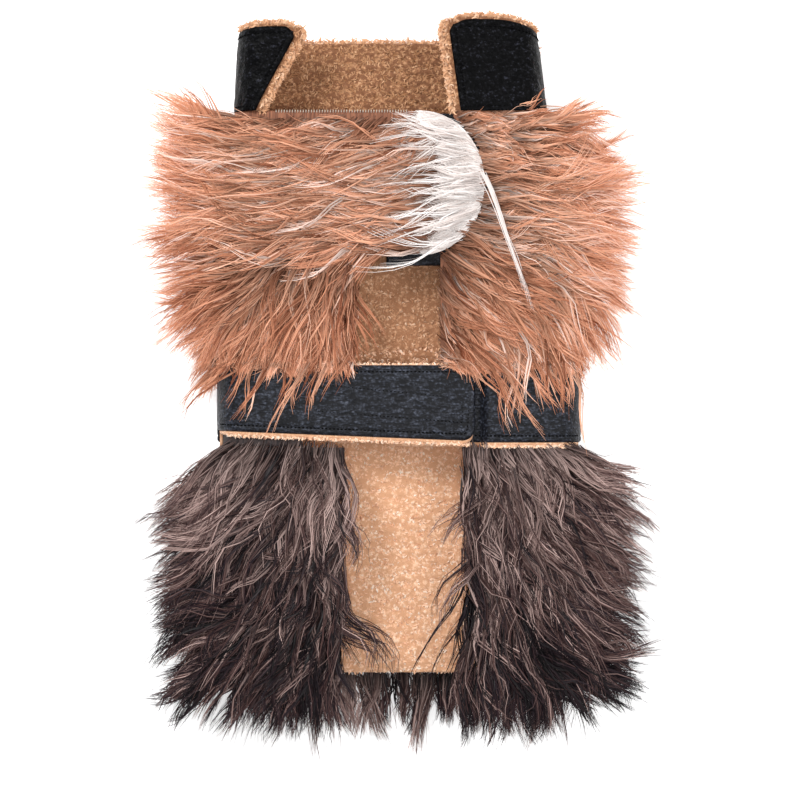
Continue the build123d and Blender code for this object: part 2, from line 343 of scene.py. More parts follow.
def leather_material(name, tones, shine, pebble_mm=2.1, crease_mm=(5.5, 1.9)):
    """Black pebbled leather: a rolled-in grain of small domes under a satin finish, with finer
    creases between them and soft wrinkles along the strap. The colour follows the height: the
    domes' tops are painted paler as painted highlight, and the creases darker as painted shade.
    Real pebbles are about 1 mm wide, and are drawn twice that so that they show."""
    material, tree = new_material(name)
    place = node(tree, "TexCoord")
    stretch = node(tree, "Mapping",
                   {"Scale": (1 / (crease_mm[0] * MM), 1 / (crease_mm[1] * MM), 1 / (crease_mm[1] * MM))},
                   Vector=place.outputs["Object"])
    wrinkles = node(tree, "TexNoise", {"Scale": 1.0, "Detail": 3.0, "Distortion": 0.8},
                    Vector=stretch.outputs["Vector"])
    pebbles = node(
        tree,
        "TexVoronoi",
        {"feature": "SMOOTH_F1", "Scale": 1 / (pebble_mm * MM), "Smoothness": 0.35, "Detail": 1.5},
        Vector=place.outputs["Object"],
    )
    folds = node(tree, "Math", {"operation": "MULTIPLY_ADD", 1: 0.8, 2: 0.1},
                 i0=wrinkles.outputs["Fac"])
    height = node(tree, "Math", {"operation": "MULTIPLY_ADD", 1: -0.3},
                  i0=pebbles.outputs["Distance"], i2=folds.outputs["Value"])
    bump = node(tree, "Bump", {"Strength": 1.0, "Distance": 0.8 * MM}, Height=height.outputs["Value"])
    # Painted highlight and shade: the colour follows the height, paler on the domes' tops and darker in the
    # creases.
    tone = node(tree, "ValToRGB", {"ramp": tones}, Fac=height.outputs["Value"])
    gloss = node(tree, "ValToRGB", {"ramp": [(0.0, 0.55), (0.5, 0.3)]}, Fac=height.outputs["Value"])
    shader = node(tree, "BsdfPrincipled", {"IOR": 1.5, "Specular IOR Level": shine},
                  Base_Color=tone.outputs["Color"], Roughness=gloss.outputs["Color"],
                  Normal=bump.outputs["Normal"])
    finish_material(tree, shader)
    return material


def thread_material(name, colour):
    """Polyester sewing thread: two plies, seen as slanted bands, with a soft shine."""
    material, tree = new_material(name)
    place = node(tree, "TexCoord")
    plies = node(tree, "TexWave",
                 {"Scale": 1 / (2.5 * MM), "bands_direction": "DIAGONAL", "Distortion": 0.6},
                 Vector=place.outputs["Object"])
    dark = [c * 0.55 for c in linear(colour)[:3]] + [1]
    tone = node(tree, "ValToRGB", {}, Fac=plies.outputs["Fac"])
    tone.color_ramp.elements[0].color = dark
    tone.color_ramp.elements[1].color = linear(colour)
    shader = node(tree, "BsdfPrincipled",
                  {"Roughness": 0.8, "IOR": 1.5, "Specular IOR Level": 0.1},
                  Base_Color=tone.outputs["Color"])
    finish_material(tree, shader)
    return material


# The pelts' dark tones are painted shade: the pile as it looks in the shadow under the loose hair.
camel_pelt_in_shade = pelt_material("camel pile over its backing", [(0.3, "#5b3220"), (0.7, "#9a6448")])
brown_pelt_in_shade = pelt_material("brown pile over its backing", [(0.3, "#150d10"), (0.7, "#3a2c2a")])
sherpa = sherpa_material("peach sherpa fleece", "#dda67f", "#ffcfaa", "#ffead4")
# A half darkened copy of the peach sherpa: painted shade for the upper back and the collar's edges.
sherpa_half_shade = sherpa_material("camel sherpa fleece", "#a87653", "#d3a07a", "#eec3a2")
# A darker copy of the peach sherpa: painted shade for the linings set deep in the collar.
sherpa_shade = sherpa_material("tan sherpa fleece", "#7d5032", "#b5835c", "#dbab85")
# The leathers' upper stops are painted highlight on the pebbles, and the lower ones painted shade in the
# creases.
BELT_TONES = [(0.2, "#0e0f14"), (0.36, "#2a2d36"), (0.54, "#4f5461")]
COLLAR_TONES = [(0.22, "#000001"), (0.36, "#0b0b0e"), (0.52, "#2c2d36")]
leather = leather_material("black pebbled belt leather", BELT_TONES, 0.18)
soft_leather = leather_material("black soft collar leather", COLLAR_TONES, 0.06, 1.9, (4.5, 2.6))
black_thread = thread_material("black polyester thread", "#020203")
pale_thread = thread_material("pale polyester thread", "#cfc2b4")
CURL_ROOT = [(0.0, 0.55), (0.5, 0.95), (1.0, 1.0)]
PEACH_CURLS = [(0.0, "#e4ab85"), (0.5, "#ffd2b0"), (1.0, "#fff0df")]
# Half darkened curl tones: painted shade.
HALF_SHADE_CURLS = [(0.0, "#b9835e"), (0.5, "#d9a680"), (1.0, "#f0caab")]
# A darker copy of the curl tones: painted shade in the collar.
PAINTED_SHADE_CURLS = [(0.0, "#8a5c3b"), (0.5, "#b58560"), (1.0, "#dcae88")]
sherpa_pile = fur_material("peach sherpa curls", PEACH_CURLS, [(0.0, 0.7), (0.5, 0.97), (1.0, 1.0)], 0.8)
sherpa_half_shade_pile = fur_material("camel sherpa curls", HALF_SHADE_CURLS, CURL_ROOT, 0.8)
sherpa_shade_pile = fur_material("tan sherpa curls", PAINTED_SHADE_CURLS, CURL_ROOT, 0.8)

# %% [markdown]
# The flap is the left chest's upper part. Its front edge is half an ellipse that reaches over
# the right chest, and the white trim follows it.

# %% The flap's outline
FLAP_LOW = box_mm("flap_tip_fur")[0][1]
FLAP_MID_Y = (FLAP_LOW + NECK_Y) / 2
FLAP_HALF = (NECK_Y - FLAP_LOW) / 2
FLAP_END_X = box_mm("flap_tip_fur")[1][0]
FLAP_REACH = 46.0
FLAP_CENTRE_X = FLAP_END_X - FLAP_REACH
CHEST_LEFT_X = -31.0
CHEST_RIGHT_X = 29.0
SKIRT_LEFT_X = box_mm("skirt_left_fur")[1][0]
SKIRT_RIGHT_X = box_mm("skirt_right_fur")[0][0]


def in_flap(x, y, grow=0.0):
    """True inside the flap: left of its centre, or inside its half ellipse."""
    up = (y - FLAP_MID_Y) / (FLAP_HALF + grow)
    over = (x - FLAP_CENTRE_X) / (FLAP_REACH + grow)
    return (np.abs(up) < 1) & ((x < FLAP_CENTRE_X) | (over**2 + up**2 < 1))


# %% [markdown]
# Under the pile, each side of the coat is a knitted backing with a sherpa lining sewn inside
# it. Both follow the tube's section, so each is a grid over s and y between two radii. The
# grid's last column follows the piece's front edge, wherever that edge lies at that y.

# %% Backing and lining


def section_length(side, y, x, bend_r=None):
    """How far along the section x lies from the fold line."""
    bend_r = HIDE_R if bend_r is None else bend_r
    return bend_r * math.pi / 2 + side * (fold_x(side, y) - side * bend_r - x)


SIDE_COLUMNS, BACK_COLUMNS = 72, 150
KNOT = 7.0
CUTS = {}


def note_cut(name, reach, y):
    """Keeps a cloth's flat size: its widest reach, its length, and the area between."""
    area = np.sum((reach[1:] + reach[:-1]) / 2 * np.diff(y))
    CUTS[name] = (np.max(reach) * MM, (y[-1] - y[0]) * MM, area * MM * MM)


def cloth_side(name, side, y, edge_x, outer, inner, rough=0.0):
    """A cloth of one side: s runs from the fold line to the front edge, edge_x at each y. Its
    faces lie at two radii, and the inner one has waves, rough millimetres high."""
    reach = section_length(side, y, edge_x)[:, None]
    note_cut(name, reach[:, 0], y)
    u = np.linspace(0, 1, SIDE_COLUMNS)[None, :]
    s = reach * u
    rows = np.broadcast_to(y[:, None], s.shape)
    front = on_tube(side, True, s, rows, outer)
    edge = np.minimum(smoothstep(0, 0.03, u), smoothstep(1, 0.97, u))
    bumps = rough * waves(front[..., 0], rows, KNOT, 32, 4) * edge
    return sheet_between(name, front, on_tube(side, True, s, rows, inner + bumps))


def dress(piece, material, body, slot, *nodes):
    """Gives a piece its material and body, and hides the CAD nodes that it stands for. slot is not used."""
    piece.data.materials.clear()
    piece.data.materials.append(material)
    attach(piece, body)
    if nodes:
        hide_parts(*nodes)


def rim_x(y, grow=0.0):
    """Where the flap's rim lies at y, with its half ellipse grown by some millimetres."""
    up = np.clip((y - FLAP_MID_Y) / (FLAP_HALF + grow), -1, 1)
    return FLAP_CENTRE_X + (FLAP_REACH + grow) * np.sqrt(1 - up**2)


def flap_edge(y):
    """Front edge of the left chest: straight below the flap, then round the flap's tip."""
    return CHEST_LEFT_X + (rim_x(y) - CHEST_LEFT_X) * smoothstep(FLAP_LOW - 3, FLAP_LOW + 3, y)


def right_edge(y):
    """Front edge of the right chest, which gives way to the flap's tip."""
    return np.maximum(CHEST_RIGHT_X + 9 * smoothstep(180, 188, y), rim_x(y, 2))


chest_y = np.linspace(CHEST_Y, NECK_Y, 92)
LINING_OUT = HIDE_R - BACKING


def two_cloths(name, side, y, edge_x, body, pelt, slot, short=0.6):
    """A side's backing, and the sherpa lining inside it, which ends a little short of it."""
    backing = cloth_side(f"{name}_backing", side, y, edge_x, HIDE_R, LINING_OUT)
    dress(backing, pelt, body, slot, f"{name}_fur")
    lining = cloth_side(f"{name}_sherpa", side, y, edge_x + side * short, LINING_OUT - 0.1,
                        LINING_IN_R, 0.7)
    dress(lining, sherpa, body, "sherpa_lining", f"{name}_lining")


# The chest backings take the dark pelts, painted shade under the pile.
for side, word, edge in ((LEFT, "left", flap_edge), (RIGHT, "right", right_edge)):
    name = f"chest_{word}"
    two_cloths(name, side, chest_y, edge(chest_y), name, camel_pelt_in_shade, "camel_fur")

# The skirt backings take the dark pelt too, painted shade under the pile.
skirt_y = np.linspace(HEM_Y, SKIRT_Y, 84)
SKIRT_SLOPE = 12.0
for side, word, inner_x in ((LEFT, "left", SKIRT_LEFT_X), (RIGHT, "right", SKIRT_RIGHT_X)):
    edge_x = inner_x + side * SKIRT_SLOPE * (SKIRT_Y - skirt_y) / (SKIRT_Y - HEM_Y)
    name = f"skirt_{word}"
    two_cloths(name, side, skirt_y, edge_x, name, brown_pelt_in_shade, "brown_fur")


def back_face(y, radius, bend_r, rise=0.0, rough=0.0):
    """One face of a cloth of the back: u runs from -1 at the left fold line to 1 at the right
    one, and the halves meet at x = 0. It has waves, rough millimetres high, over its rise."""
    u = np.linspace(-1, 1, BACK_COLUMNS)[None, :]
    rows = np.repeat(y[:, None], BACK_COLUMNS, 1)
    halves = []
    for side in (LEFT, RIGHT):
        s = section_length(side, y, 0.0, bend_r)[:, None] * (1 - np.abs(u))
        x = on_tube(side, False, s, rows, radius, bend_r)[..., 0]
        height = radius + rise + rough * waves(x, rows, KNOT, 42, 4)
        halves.append(on_tube(side, False, s, rows, height, bend_r))
    return np.where(u[..., None] < 0, *halves)


def cloth_back(name, y, outer, inner, bend_r=None, rise=0.0, rough=0.0):
    """A cloth of the back, from fold line to fold line. Its outer face may rise over its
    radius, and its inner one may be rough."""
    note_cut(name, sum(section_length(side, y, 0.0, bend_r) for side in (LEFT, RIGHT)), y)
    return sheet_between(name, back_face(y, outer, bend_r, rise), back_face(y, inner, bend_r, 0.0, rough))


# The upper back's lining takes the half darkened sherpa: painted shade under the collar.
for name, y, rough in (
    ("upper", chest_y, sherpa_half_shade),
    ("lower", np.linspace(HEM_Y, CHEST_Y, 116), sherpa),
):
    lining = cloth_back(f"back_{name}_sherpa", y, LINING_OUT - 0.1, LINING_IN_R, rough=0.9)
    dress(lining, rough, "body_back", "sherpa_lining", f"back_{name}_lining")
    # The back's backings take the dark pelts, painted shade under the pile.
    backing = cloth_back(f"back_{name}_backing", y, HIDE_R, LINING_OUT)
    pelt = camel_pelt_in_shade if name == "upper" else brown_pelt_in_shade
    dress(backing, pelt, "body_back", "camel_fur" if name == "upper" else "brown_fur")

# %% [markdown]
# The pile under the back is pressed flat by the coat's weight, so it is a thick mat with
# combed streaks instead of loose hairs, coloured dark as painted shade.

# %% Pressed pile under the back


def pressed_mat(name, y_low, y_high, half_width, material, node_name, slot):
    """A cushion-like slab: full thickness inside, rounded off at its border, waves on top."""
    u, v = np.meshgrid(np.linspace(-1, 1, 100), np.linspace(0, 1, 80))
    x, y = u * half_width, y_low + (y_high - y_low) * v
    edge = np.minimum(1 - np.abs(u), 1.6 * np.minimum(v, 1 - v))
    full = np.sqrt(1 - (1 - np.clip(edge / 0.12, 0, 1)) ** 2)
    low, high = box_mm(node_name)
    thick = FOLD_Z - HIDE_R
    under = thick - (thick - 0.6) * full + 0.5 * np.abs(waves(x, y, 12, 51, 4)) * full
    top = np.full_like(x, thick)
    mat = sheet_between(name, np.stack([x, y, top], -1), np.stack([x, y, under], -1))
    dress(mat, material, "body_back", slot, node_name)


# The pressed mats are coloured dark as painted shade under the coat.
pressed_mat("back_upper_pile", CHEST_Y, NECK_Y, 100, camel_pelt_in_shade, "back_upper_fur", "camel_fur")
pressed_mat("back_lower_pile", HEM_Y, SKIRT_Y, 112, brown_pelt_in_shade, "back_lower_fur", "brown_fur")

# %% [markdown]
# Leather parts: belt, collar and underlap. Real leather goods have their edges turned over
# and stitched down, so a section across a strap bulges a little, drops to the stitch line,
# and rounds over at the edge.

# %% Belt
STITCH_IN, TURNED_EDGE, STRAP_CORNER = 4.6, 2.2, 9.0
LINING_EDGE = 3.0


def turned_edge(off, drop):
    """Height of leather beside its edge, off millimetres in: it rounds over by drop, within
    the turned edge, and dips along the stitch line."""
    roll = drop * (np.sqrt(np.clip(1 - (1 - np.clip(off / TURNED_EDGE, 0, 1)) ** 2, 0, 1)) - 1)
    return roll - 0.45 * np.exp(-((off - STITCH_IN) / 0.7) ** 2)


def strap_crown(v, width):
    """Height over the leather's flat face, in millimetres, at v from 0 to 1 across a strap."""
    return turned_edge(np.minimum(v, 1 - v) * width, 1.3) + 0.35 * np.sin(math.pi * v)


def strap_piece(name, side, low_y, high_y, end_x, outer, inner, drop=None):
    """A strap along the section: v runs across it, u from the fold line to its end. low_y may
    vary with x. Near the end the strap narrows in a quarter ellipse, which rounds its tip."""
    v, u = np.meshgrid(np.linspace(0, 1, 50), np.linspace(0, 1, 170), indexing="ij")
    reach = section_length(side, np.array([0.0]), end_x)[0]
    s = reach * u
    x = on_tube(side, True, s, 0 * s, outer)[..., 0]
    low, high = low_y(x), high_y + 0 * x
    near = np.clip((STRAP_CORNER - np.abs(x - end_x)) / STRAP_CORNER, 0, 1) * (u > 0.5)
    pull = STRAP_CORNER * (1 - np.sqrt(1 - near**2))
    low, high = low + pull, high - pull
    y = low + (high - low) * v
    note_cut(name, (high - low)[0], s[0])
    crown = strap_crown(v, high - low) + 0.25 * waves(x, y, 45, 61)
    tip = 1.3 * (np.sqrt(1 - np.clip(1 - np.abs(x - end_x) / TURNED_EDGE, 0, 1) ** 2) - 1) * (u > 0.5)
    front = on_tube(side, True, s, y, outer + crown + tip)
    back = on_tube(side, True, s, y, np.full_like(s, inner))
    if drop is not None:
        sunk = np.stack([0 * s, 0 * s, drop(x)], -1)
        front, back = front - sunk, back - sunk
    return sheet_between(name, front, back)


def level(value):
    """An edge that keeps one y at every x."""
    return lambda x: value + 0 * x


BELT_OUT = box_mm("belt_left_leather")[1][2] - FOLD_Z
BELT_MID = BELT_OUT - BELT_LEATHER
BELT_TOP = box_mm("belt_left_leather")[1][1]
BELT_LOW_RIGHT = box_mm("belt_right_leather")[0][1]
LEFT_END = box_mm("belt_left_leather")[1][0]
RIGHT_END = box_mm("belt_right_leather")[0][0]
LEFT_LOW_Y, LEFT_FALL = -28.0, 7.0
STEP = 6.6


def left_low(x):
    """Lower edge of the left strap, which slopes down towards its tip."""
    return LEFT_LOW_Y - LEFT_FALL * (x + WAIST_X) / (LEFT_END + WAIST_X)


def step_down(x):
    """How far the right strap sinks to pass under the left one."""
    return STEP * smoothstep(LEFT_END + 10, LEFT_END + 3.0, x)


STRAPS = {"left": (LEFT, left_low, LEFT_END, None),
          "right": (RIGHT, level(BELT_LOW_RIGHT), RIGHT_END, step_down)}
for word, (side, low_y, end_x, drop) in STRAPS.items():
    strap = strap_piece(f"belt_{word}_strap", side, low_y, BELT_TOP, end_x, BELT_OUT, BELT_MID, drop)
    dress(strap, leather, f"belt_{word}", "black_leather", f"belt_{word}_leather")
    pad = strap_piece(f"belt_{word}_sherpa", side, lambda x: low_y(x) - LINING_EDGE, BELT_TOP - 0.5,
                      end_x + side * 0.8, BELT_MID - 0.1, HIDE_R + 0.1, drop)
    dress(pad, sherpa, f"belt_{word}", "sherpa_lining", f"belt_{word}_lining")


def back_crown(y):
    """A band's crown at each y, as a column."""
    return strap_crown((y - y[0]) / (y[-1] - y[0]), y[-1] - y[0])[:, None]


band_y = np.linspace(BELT_LOW_RIGHT, BELT_TOP, 60)
band = cloth_back("belt_back_band", band_y, BELT_OUT, BELT_MID, rise=back_crown(band_y))
dress(band, leather, "body_back", "black_leather", "belt_back_leather")
band = cloth_back("belt_back_sherpa", np.linspace(BELT_LOW_RIGHT - LINING_EDGE, BELT_TOP, 30),
                  BELT_MID - 0.1, HIDE_R + 0.1)
dress(band, sherpa, "body_back", "sherpa_lining", "belt_back_lining")
waist_y = np.linspace(*(box_mm("waist_left_fur")[k][1] for k in (0, 1)), 30)
# The waist backings take the dark brown pelt, painted shade under the pile.
for side, word in ((LEFT, "left"), (RIGHT, "right")):
    edge_x = box_mm(f"waist_{word}_fur")[1 if side == LEFT else 0][0] + 0 * waist_y
    two_cloths(f"waist_{word}", side, waist_y, edge_x, f"belt_{word}", brown_pelt_in_shade, "brown_fur", 0.0)

# %% [markdown]
# The collar is a turn-up band of leather lined with sherpa. Its back lies open behind the
# neck, and its two ends come round to the front, cut on the slant.

# %% Collar
COLLAR_R = FOLD_Z - box_mm("collar_back_leather")[0][2]
COLLAR_MID = COLLAR_R - COLLAR_LEATHER
COLLAR_IN = COLLAR_MID - LINING
COLLAR_TOP = box_mm("collar_back_leather")[1][1]
collar_y = np.linspace(NECK_Y, COLLAR_TOP, 60)
band = cloth_back("collar_back_band", collar_y, COLLAR_R, COLLAR_MID, COLLAR_R, back_crown(collar_y))
dress(band, soft_leather, "body_back", "black_leather", "collar_back_leather")
# The collar's back lining is the darker sherpa copy: painted shade.
lining = cloth_back("collar_back_sherpa", np.linspace(NECK_Y, COLLAR_TOP + 2, 60), COLLAR_MID - 0.1,
                    COLLAR_IN, COLLAR_R, rough=0.9)
dress(lining, sherpa_shade, "body_back", "sherpa_lining", "collar_back_lining")

COLLAR_ENDS = {"left": (LEFT, -101.0, -69.0, 255.0, 251.0), "right": (RIGHT, 43.0, 34.0, 260.0, 250.0)}


def collar_outline(word, u, v, beyond=0.0):
    """Places s, y on a collar end. v runs up from the neck seam and u out from the fold line
    to the front edge, which leans from foot to tip. The top edge falls from tip to fold line
    and rounds off at both corners. beyond grows it past its front and top edges."""
    side, foot_x, tip_x, tip_y, shoulder_y = COLLAR_ENDS[word]
    crest = shoulder_y + (tip_y - shoulder_y) * np.sin(math.pi / 2 * np.clip(u * 1.5, 0, 1))
    top = crest - 3.5 * smoothstep(0.8, 1.0, u) ** 2 + 0.4 * beyond
    y = NECK_Y + (top - NECK_Y) * v
    edge_x = foot_x + (tip_x - foot_x) * (y - NECK_Y) / (tip_y - NECK_Y)
    edge_x = edge_x + side * 3 * smoothstep(0.88, 1.0, v) ** 2 - side * beyond
    return section_length(side, y, edge_x, COLLAR_R) * u, y


def collar_end(name, word, beyond, outer, inner, crowned):
    """A collar end between two radii, with turned and stitched edges if it is the leather."""
    side = COLLAR_ENDS[word][0]
    v, u = np.meshgrid(np.linspace(0, 1, 70), np.linspace(0, 1, 80), indexing="ij")
    s, y = collar_outline(word, u, v, beyond)
    note_cut(name, s[:, -1], y[:, -1])
    h = 0.0
    if crowned:
        off = np.minimum((1 - u) * s[:, -1:], (1 - v) * (y[-1:] - NECK_Y))
        h = turned_edge(off, 1.2) + 0.6 * waves(s, y, 30, 71)
    front = on_tube(side, True, s, y, outer + h, COLLAR_R)
    back = on_tube(side, True, s, y, inner + 0 * s, COLLAR_R)
    return sheet_between(name, front, back)


for word in COLLAR_ENDS:
    end = collar_end(f"collar_{word}_end", word, 0.0, COLLAR_R, COLLAR_MID, True)
    dress(end, soft_leather, f"chest_{word}", "black_leather", f"collar_{word}_leather")
    # The collar ends' linings are the darker sherpa copy too: painted shade.
    lining = collar_end(f"collar_{word}_sherpa", word, 5.0, COLLAR_MID - 0.1, COLLAR_IN, False)
    dress(lining, sherpa_shade, f"chest_{word}", "sherpa_lining", f"collar_{word}_lining")

# %% [markdown]
# Top-stitching holds the turned edges down. Each stitch is a short capsule that dips into the
# leather at its ends, and all the stitches of a seam are one mesh, worked out at once.

# %% Stitches
PER_STITCH = 30


def stitch_row(path, up, pitch, length, radius):
    """Capsules along a path: a ring of six points at five places along each, whose radius
    swells in the middle. Returns points and faces."""
    step = np.linalg.norm(np.diff(path, axis=0), axis=1)
    run = np.concatenate([[0], np.cumsum(step)])
    at = np.arange(pitch / 2, run[-1], pitch)
    middle = np.stack([np.interp(at, run, path[:, k]) for k in range(3)], -1)
    ahead = np.stack([np.interp(at + 0.3, run, path[:, k]) for k in range(3)], -1)
    behind = np.stack([np.interp(at - 0.3, run, path[:, k]) for k in range(3)], -1)
    along = ahead - behind
    along /= np.linalg.norm(along, axis=1, keepdims=True)
    normal = np.stack([np.interp(at, run, up[:, k]) for k in range(3)], -1)
    across = np.cross(along, normal)
    t = np.linspace(-1, 1, 5)[None, :, None, None]
    turn = np.linspace(0, TAU, 6, endpoint=False)[None, None, :, None]
    swell = radius * np.sqrt(1.02 - t**2)
    ring = np.cos(turn) * across[:, None, None, :] + np.sin(turn) * normal[:, None, None, :]
    points = (middle[:, None, None, :] + along[:, None, None, :] * t * length / 2
              - normal[:, None, None, :] * 0.5 * radius * t**2 + ring * swell)
    count = len(at)
    base = np.arange(count)[:, None, None] * PER_STITCH
    i, j = np.meshgrid(np.arange(4), np.arange(6), indexing="ij")
    a, b = i * 6 + j, i * 6 + (j + 1) % 6
    sides = base + np.stack([a, b, b + 6, a + 6], -1).reshape(1, -1, 4)
    caps = base + np.array([[0, 3, 2, 1], [0, 5, 4, 3], [24, 25, 26, 27], [24, 27, 28, 29]])[None]
    return points.reshape(-1, 3), np.concatenate([sides, caps], 1).reshape(-1, 4)


def stitch_piece(name, rows, material, body, pitch=2.7, length=2.0, radius=0.5):
    """One mesh of several rows of stitches. Each row is a path and its normals."""
    points, faces, start = [], [], 0
    for path, up in rows:
        p, f = stitch_row(path, up, pitch, length, radius)
        points.append(p)
        faces.append(f + start)
        start += len(p)
    piece = put_mesh(name, np.concatenate(points), np.concatenate(faces))
    outwards(piece)
    print(name, start // PER_STITCH, "stitches")
    dress(piece, material, body, "black_leather")


def on_strap(side, s, y, drop=0.0, bend_r=None, radius=None):
    """A path and its normals on a strap's face."""
    radius = BELT_OUT if radius is None else radius
    path = on_tube(side, True, s, y, np.full_like(s, radius), bend_r)
    path[:, 2] -= drop
    return path, tube_normal(side, True, s, bend_r)


def strap_stitches(side, low_y, end_x, drop):
    """A strap's stitch line: along its low edge, round its end and back along its top."""
    x = np.linspace(side * (WAIST_X + 2), end_x + side * (STITCH_IN + 4), 200)
    zero = np.zeros_like(x)
    s = np.maximum(section_length(side, zero, x), 0)
    low, high = low_y(x) + STITCH_IN, BELT_TOP + zero - STITCH_IN
    turn = np.linspace(-math.pi / 2, math.pi / 2, 30)
    mid_y, half_y = (low[-1] + high[-1]) / 2, (high[-1] - low[-1]) / 2
    end_y = mid_y + half_y * np.sign(np.sin(turn)) * np.abs(np.sin(turn)) ** 0.55
    end_at = x[-1] - side * 4 * np.cos(turn) ** 0.6
    path_x = np.concatenate([x, end_at, x[::-1]])
    path_y = np.concatenate([low, end_y, high[::-1]])
    path_s = section_length(side, 0 * path_x, path_x)
    path, up = on_strap(side, np.maximum(path_s, 0), path_y)
    if drop is not None:
        path[:, 2] -= drop(path[:, 0])
    return path, up


belt_left_rows = [strap_stitches(*STRAPS["left"])]
tape_low, tape_high = box_mm("belt_hook_tape")
u = np.linspace(0, 1, 120)
corners = np.array([(tape_low[0], tape_high[1] - 3), (tape_high[0] - 2, tape_high[1] - 12),
                    (tape_high[0] - 2, tape_low[1] + 5), (tape_low[0] - 8, tape_low[1] + 13)])
sides = zip(corners, np.roll(corners, -1, axis=0))
box_path = np.concatenate([a + (b - a) * u[:, None] for a, b in sides])
box_s = section_length(LEFT, 0 * box_path[:, 0], box_path[:, 0])
belt_left_rows.append(on_strap(LEFT, box_s, box_path[:, 1]))
stitch_piece("belt_left_stitches", belt_left_rows, black_thread, "belt_left")
stitch_piece("belt_right_stitches", [strap_stitches(*STRAPS["right"])], black_thread, "belt_right")


def collar_rows(word):
    """Stitch lines of a collar end: beside its front edge, below its top, above the seam."""
    side = COLLAR_ENDS[word][0]
    t = np.linspace(0.03, 0.97, 90)
    reach = collar_outline(word, 1.0, 0.5)[0]
    inset = 1 - STITCH_IN / reach
    front = collar_outline(word, np.full(90, inset), t * 0.96)
    crest = collar_outline(word, t[::-1] * inset, np.full(90, 1 - STITCH_IN / 60))
    foot = collar_outline(word, t * 0.98, np.full(90, 0.055))
    return [on_strap(side, s, y, 0.0, COLLAR_R, COLLAR_R) for s, y in (front, crest, foot)]


for word in COLLAR_ENDS:
    stitch_piece(f"collar_{word}_stitches", collar_rows(word), black_thread, f"chest_{word}",
                 pitch=3.0, length=2.2)
seam_y = NECK_Y - 1.5 + 3 * u[:8] * 15
seam_z = np.full(8, FOLD_Z + HIDE_R + 0.7)
seam_rows = [(np.stack([np.full(8, x), seam_y, seam_z], -1), np.tile([0.0, 0.0, 1.0], (8, 1)))
             for x in np.arange(-86, 6, 1.9)]
stitch_piece("neck_seam_stitches", seam_rows, pale_thread, "chest_left", pitch=2.4, length=2.4, radius=0.35)

# %% [markdown]
# Under the flap, a leather underlap sewn to the right side carries loop tape, and the flap
# carries hook tape, as the belt's two straps do. The tapes are CAD nodes that stay in sight
# when the coat is open, so they only need their weave.

# %% Underlap and tapes
LAP_LOW, LAP_HIGH = box_mm("underlap_leather")
lap_v, lap_u = np.meshgrid(np.linspace(0, 1, 90), np.linspace(0, 1, 60), indexing="ij")
lap_x = LAP_LOW[0] + (LAP_HIGH[0] - LAP_LOW[0]) * lap_u
lap_y = LAP_LOW[1] + (LAP_HIGH[1] - LAP_LOW[1]) * lap_v
lap_top = LAP_LOW[2] + BELT_LEATHER
rise = (LAP_HIGH[2] - lap_top) * smoothstep(62, 66, lap_x)
lap_crown = strap_crown(lap_v, LAP_HIGH[1] - LAP_LOW[1])
lap = sheet_between(
    "underlap",
    np.stack([lap_x, lap_y, lap_top + rise + np.minimum(lap_crown, 0)], -1),
    np.stack([lap_x, lap_y, 0 * lap_x + LAP_LOW[2]], -1),
)
dress(lap, leather, "chest_right", "black_leather", "underlap_leather")


def tape_material(name, pitch_mm):
    """Woven nylon tape with rows of hooks or loops, drawn as a fine grid of dots."""
    material, tree = new_material(name)
    place = node(tree, "TexCoord")
    dots = node(tree, "TexVoronoi", {"Scale": 1 / (pitch_mm * MM), "Randomness": 0.25},
                Vector=place.outputs["Object"])
    tone = node(tree, "ValToRGB", {"ramp": [(0.1, "#34343a"), (0.7, "#0c0c0e")]},
                Fac=dots.outputs["Distance"])
    bump = node(tree, "Bump", {"Strength": 1.0, "Distance": 0.5 * MM, "invert": True},
                Height=dots.outputs["Distance"])
    shader = node(tree, "BsdfPrincipled", {"Roughness": 0.7, "IOR": 1.53},
                  Base_Color=tone.outputs["Color"], Normal=bump.outputs["Normal"])
    finish_material(tree, shader)
    return material


tape = tape_material("black hook and loop tape", 1.4)
for name in ("belt_hook_tape", "belt_loop_tape", "chest_hook_tape", "chest_loop_tape"):
    made = frame["nodes"][name]
    for place in made.material_slots:
        place.material = tape

# %% [markdown]
# Long pile doesn't stand as single hairs. It gathers in locks: narrow, wavy tufts that share
# a heading and draw together from root to tip, and neighbouring locks lean on a stronger one
# and run into a tress with a dark gap beside it. So a lock's middle line is worked out first,
# then it is drawn to its leader, and then eight hairs follow it, each a ribbon that tapers.

# %% Locks of hair
SEGMENTS = 6


def lock_lines(roots, normals, heading, length, lift, bend, curl, waves_along, droop, rng,
               segments=SEGMENTS):
    """Middle lines of locks. Each starts between its surface's normal and its heading, turns
    over to lie along the heading, bends evenly, waves from side to side and droops."""
    count = len(roots)
    t = (np.arange(segments) + 0.5) / segments
    phase = rng.uniform(0, TAU, count)[:, None]
    angle = (heading[:, None] + bend[:, None] * t
             + curl[:, None] * (np.sin(TAU * waves_along[:, None] * t + phase) - np.sin(phase) * (1 - t)))
    flat = np.stack([np.cos(angle), np.sin(angle), -droop[:, None] * t], -1)
    start = (np.cos(lift)[:, None] * np.stack([np.cos(heading), np.sin(heading), 0 * heading], -1)
             + np.sin(lift)[:, None] * normals)
    turned = smoothstep(0.0, 0.42, t)[None, :, None]
    step = start[:, None, :] * (1 - turned) + flat * turned
    step /= np.linalg.norm(step, axis=-1, keepdims=True)
    run = np.cumsum(step * (length[:, None, None] / segments), axis=1)
    return np.concatenate([np.zeros((count, 1, 3)), run], axis=1)


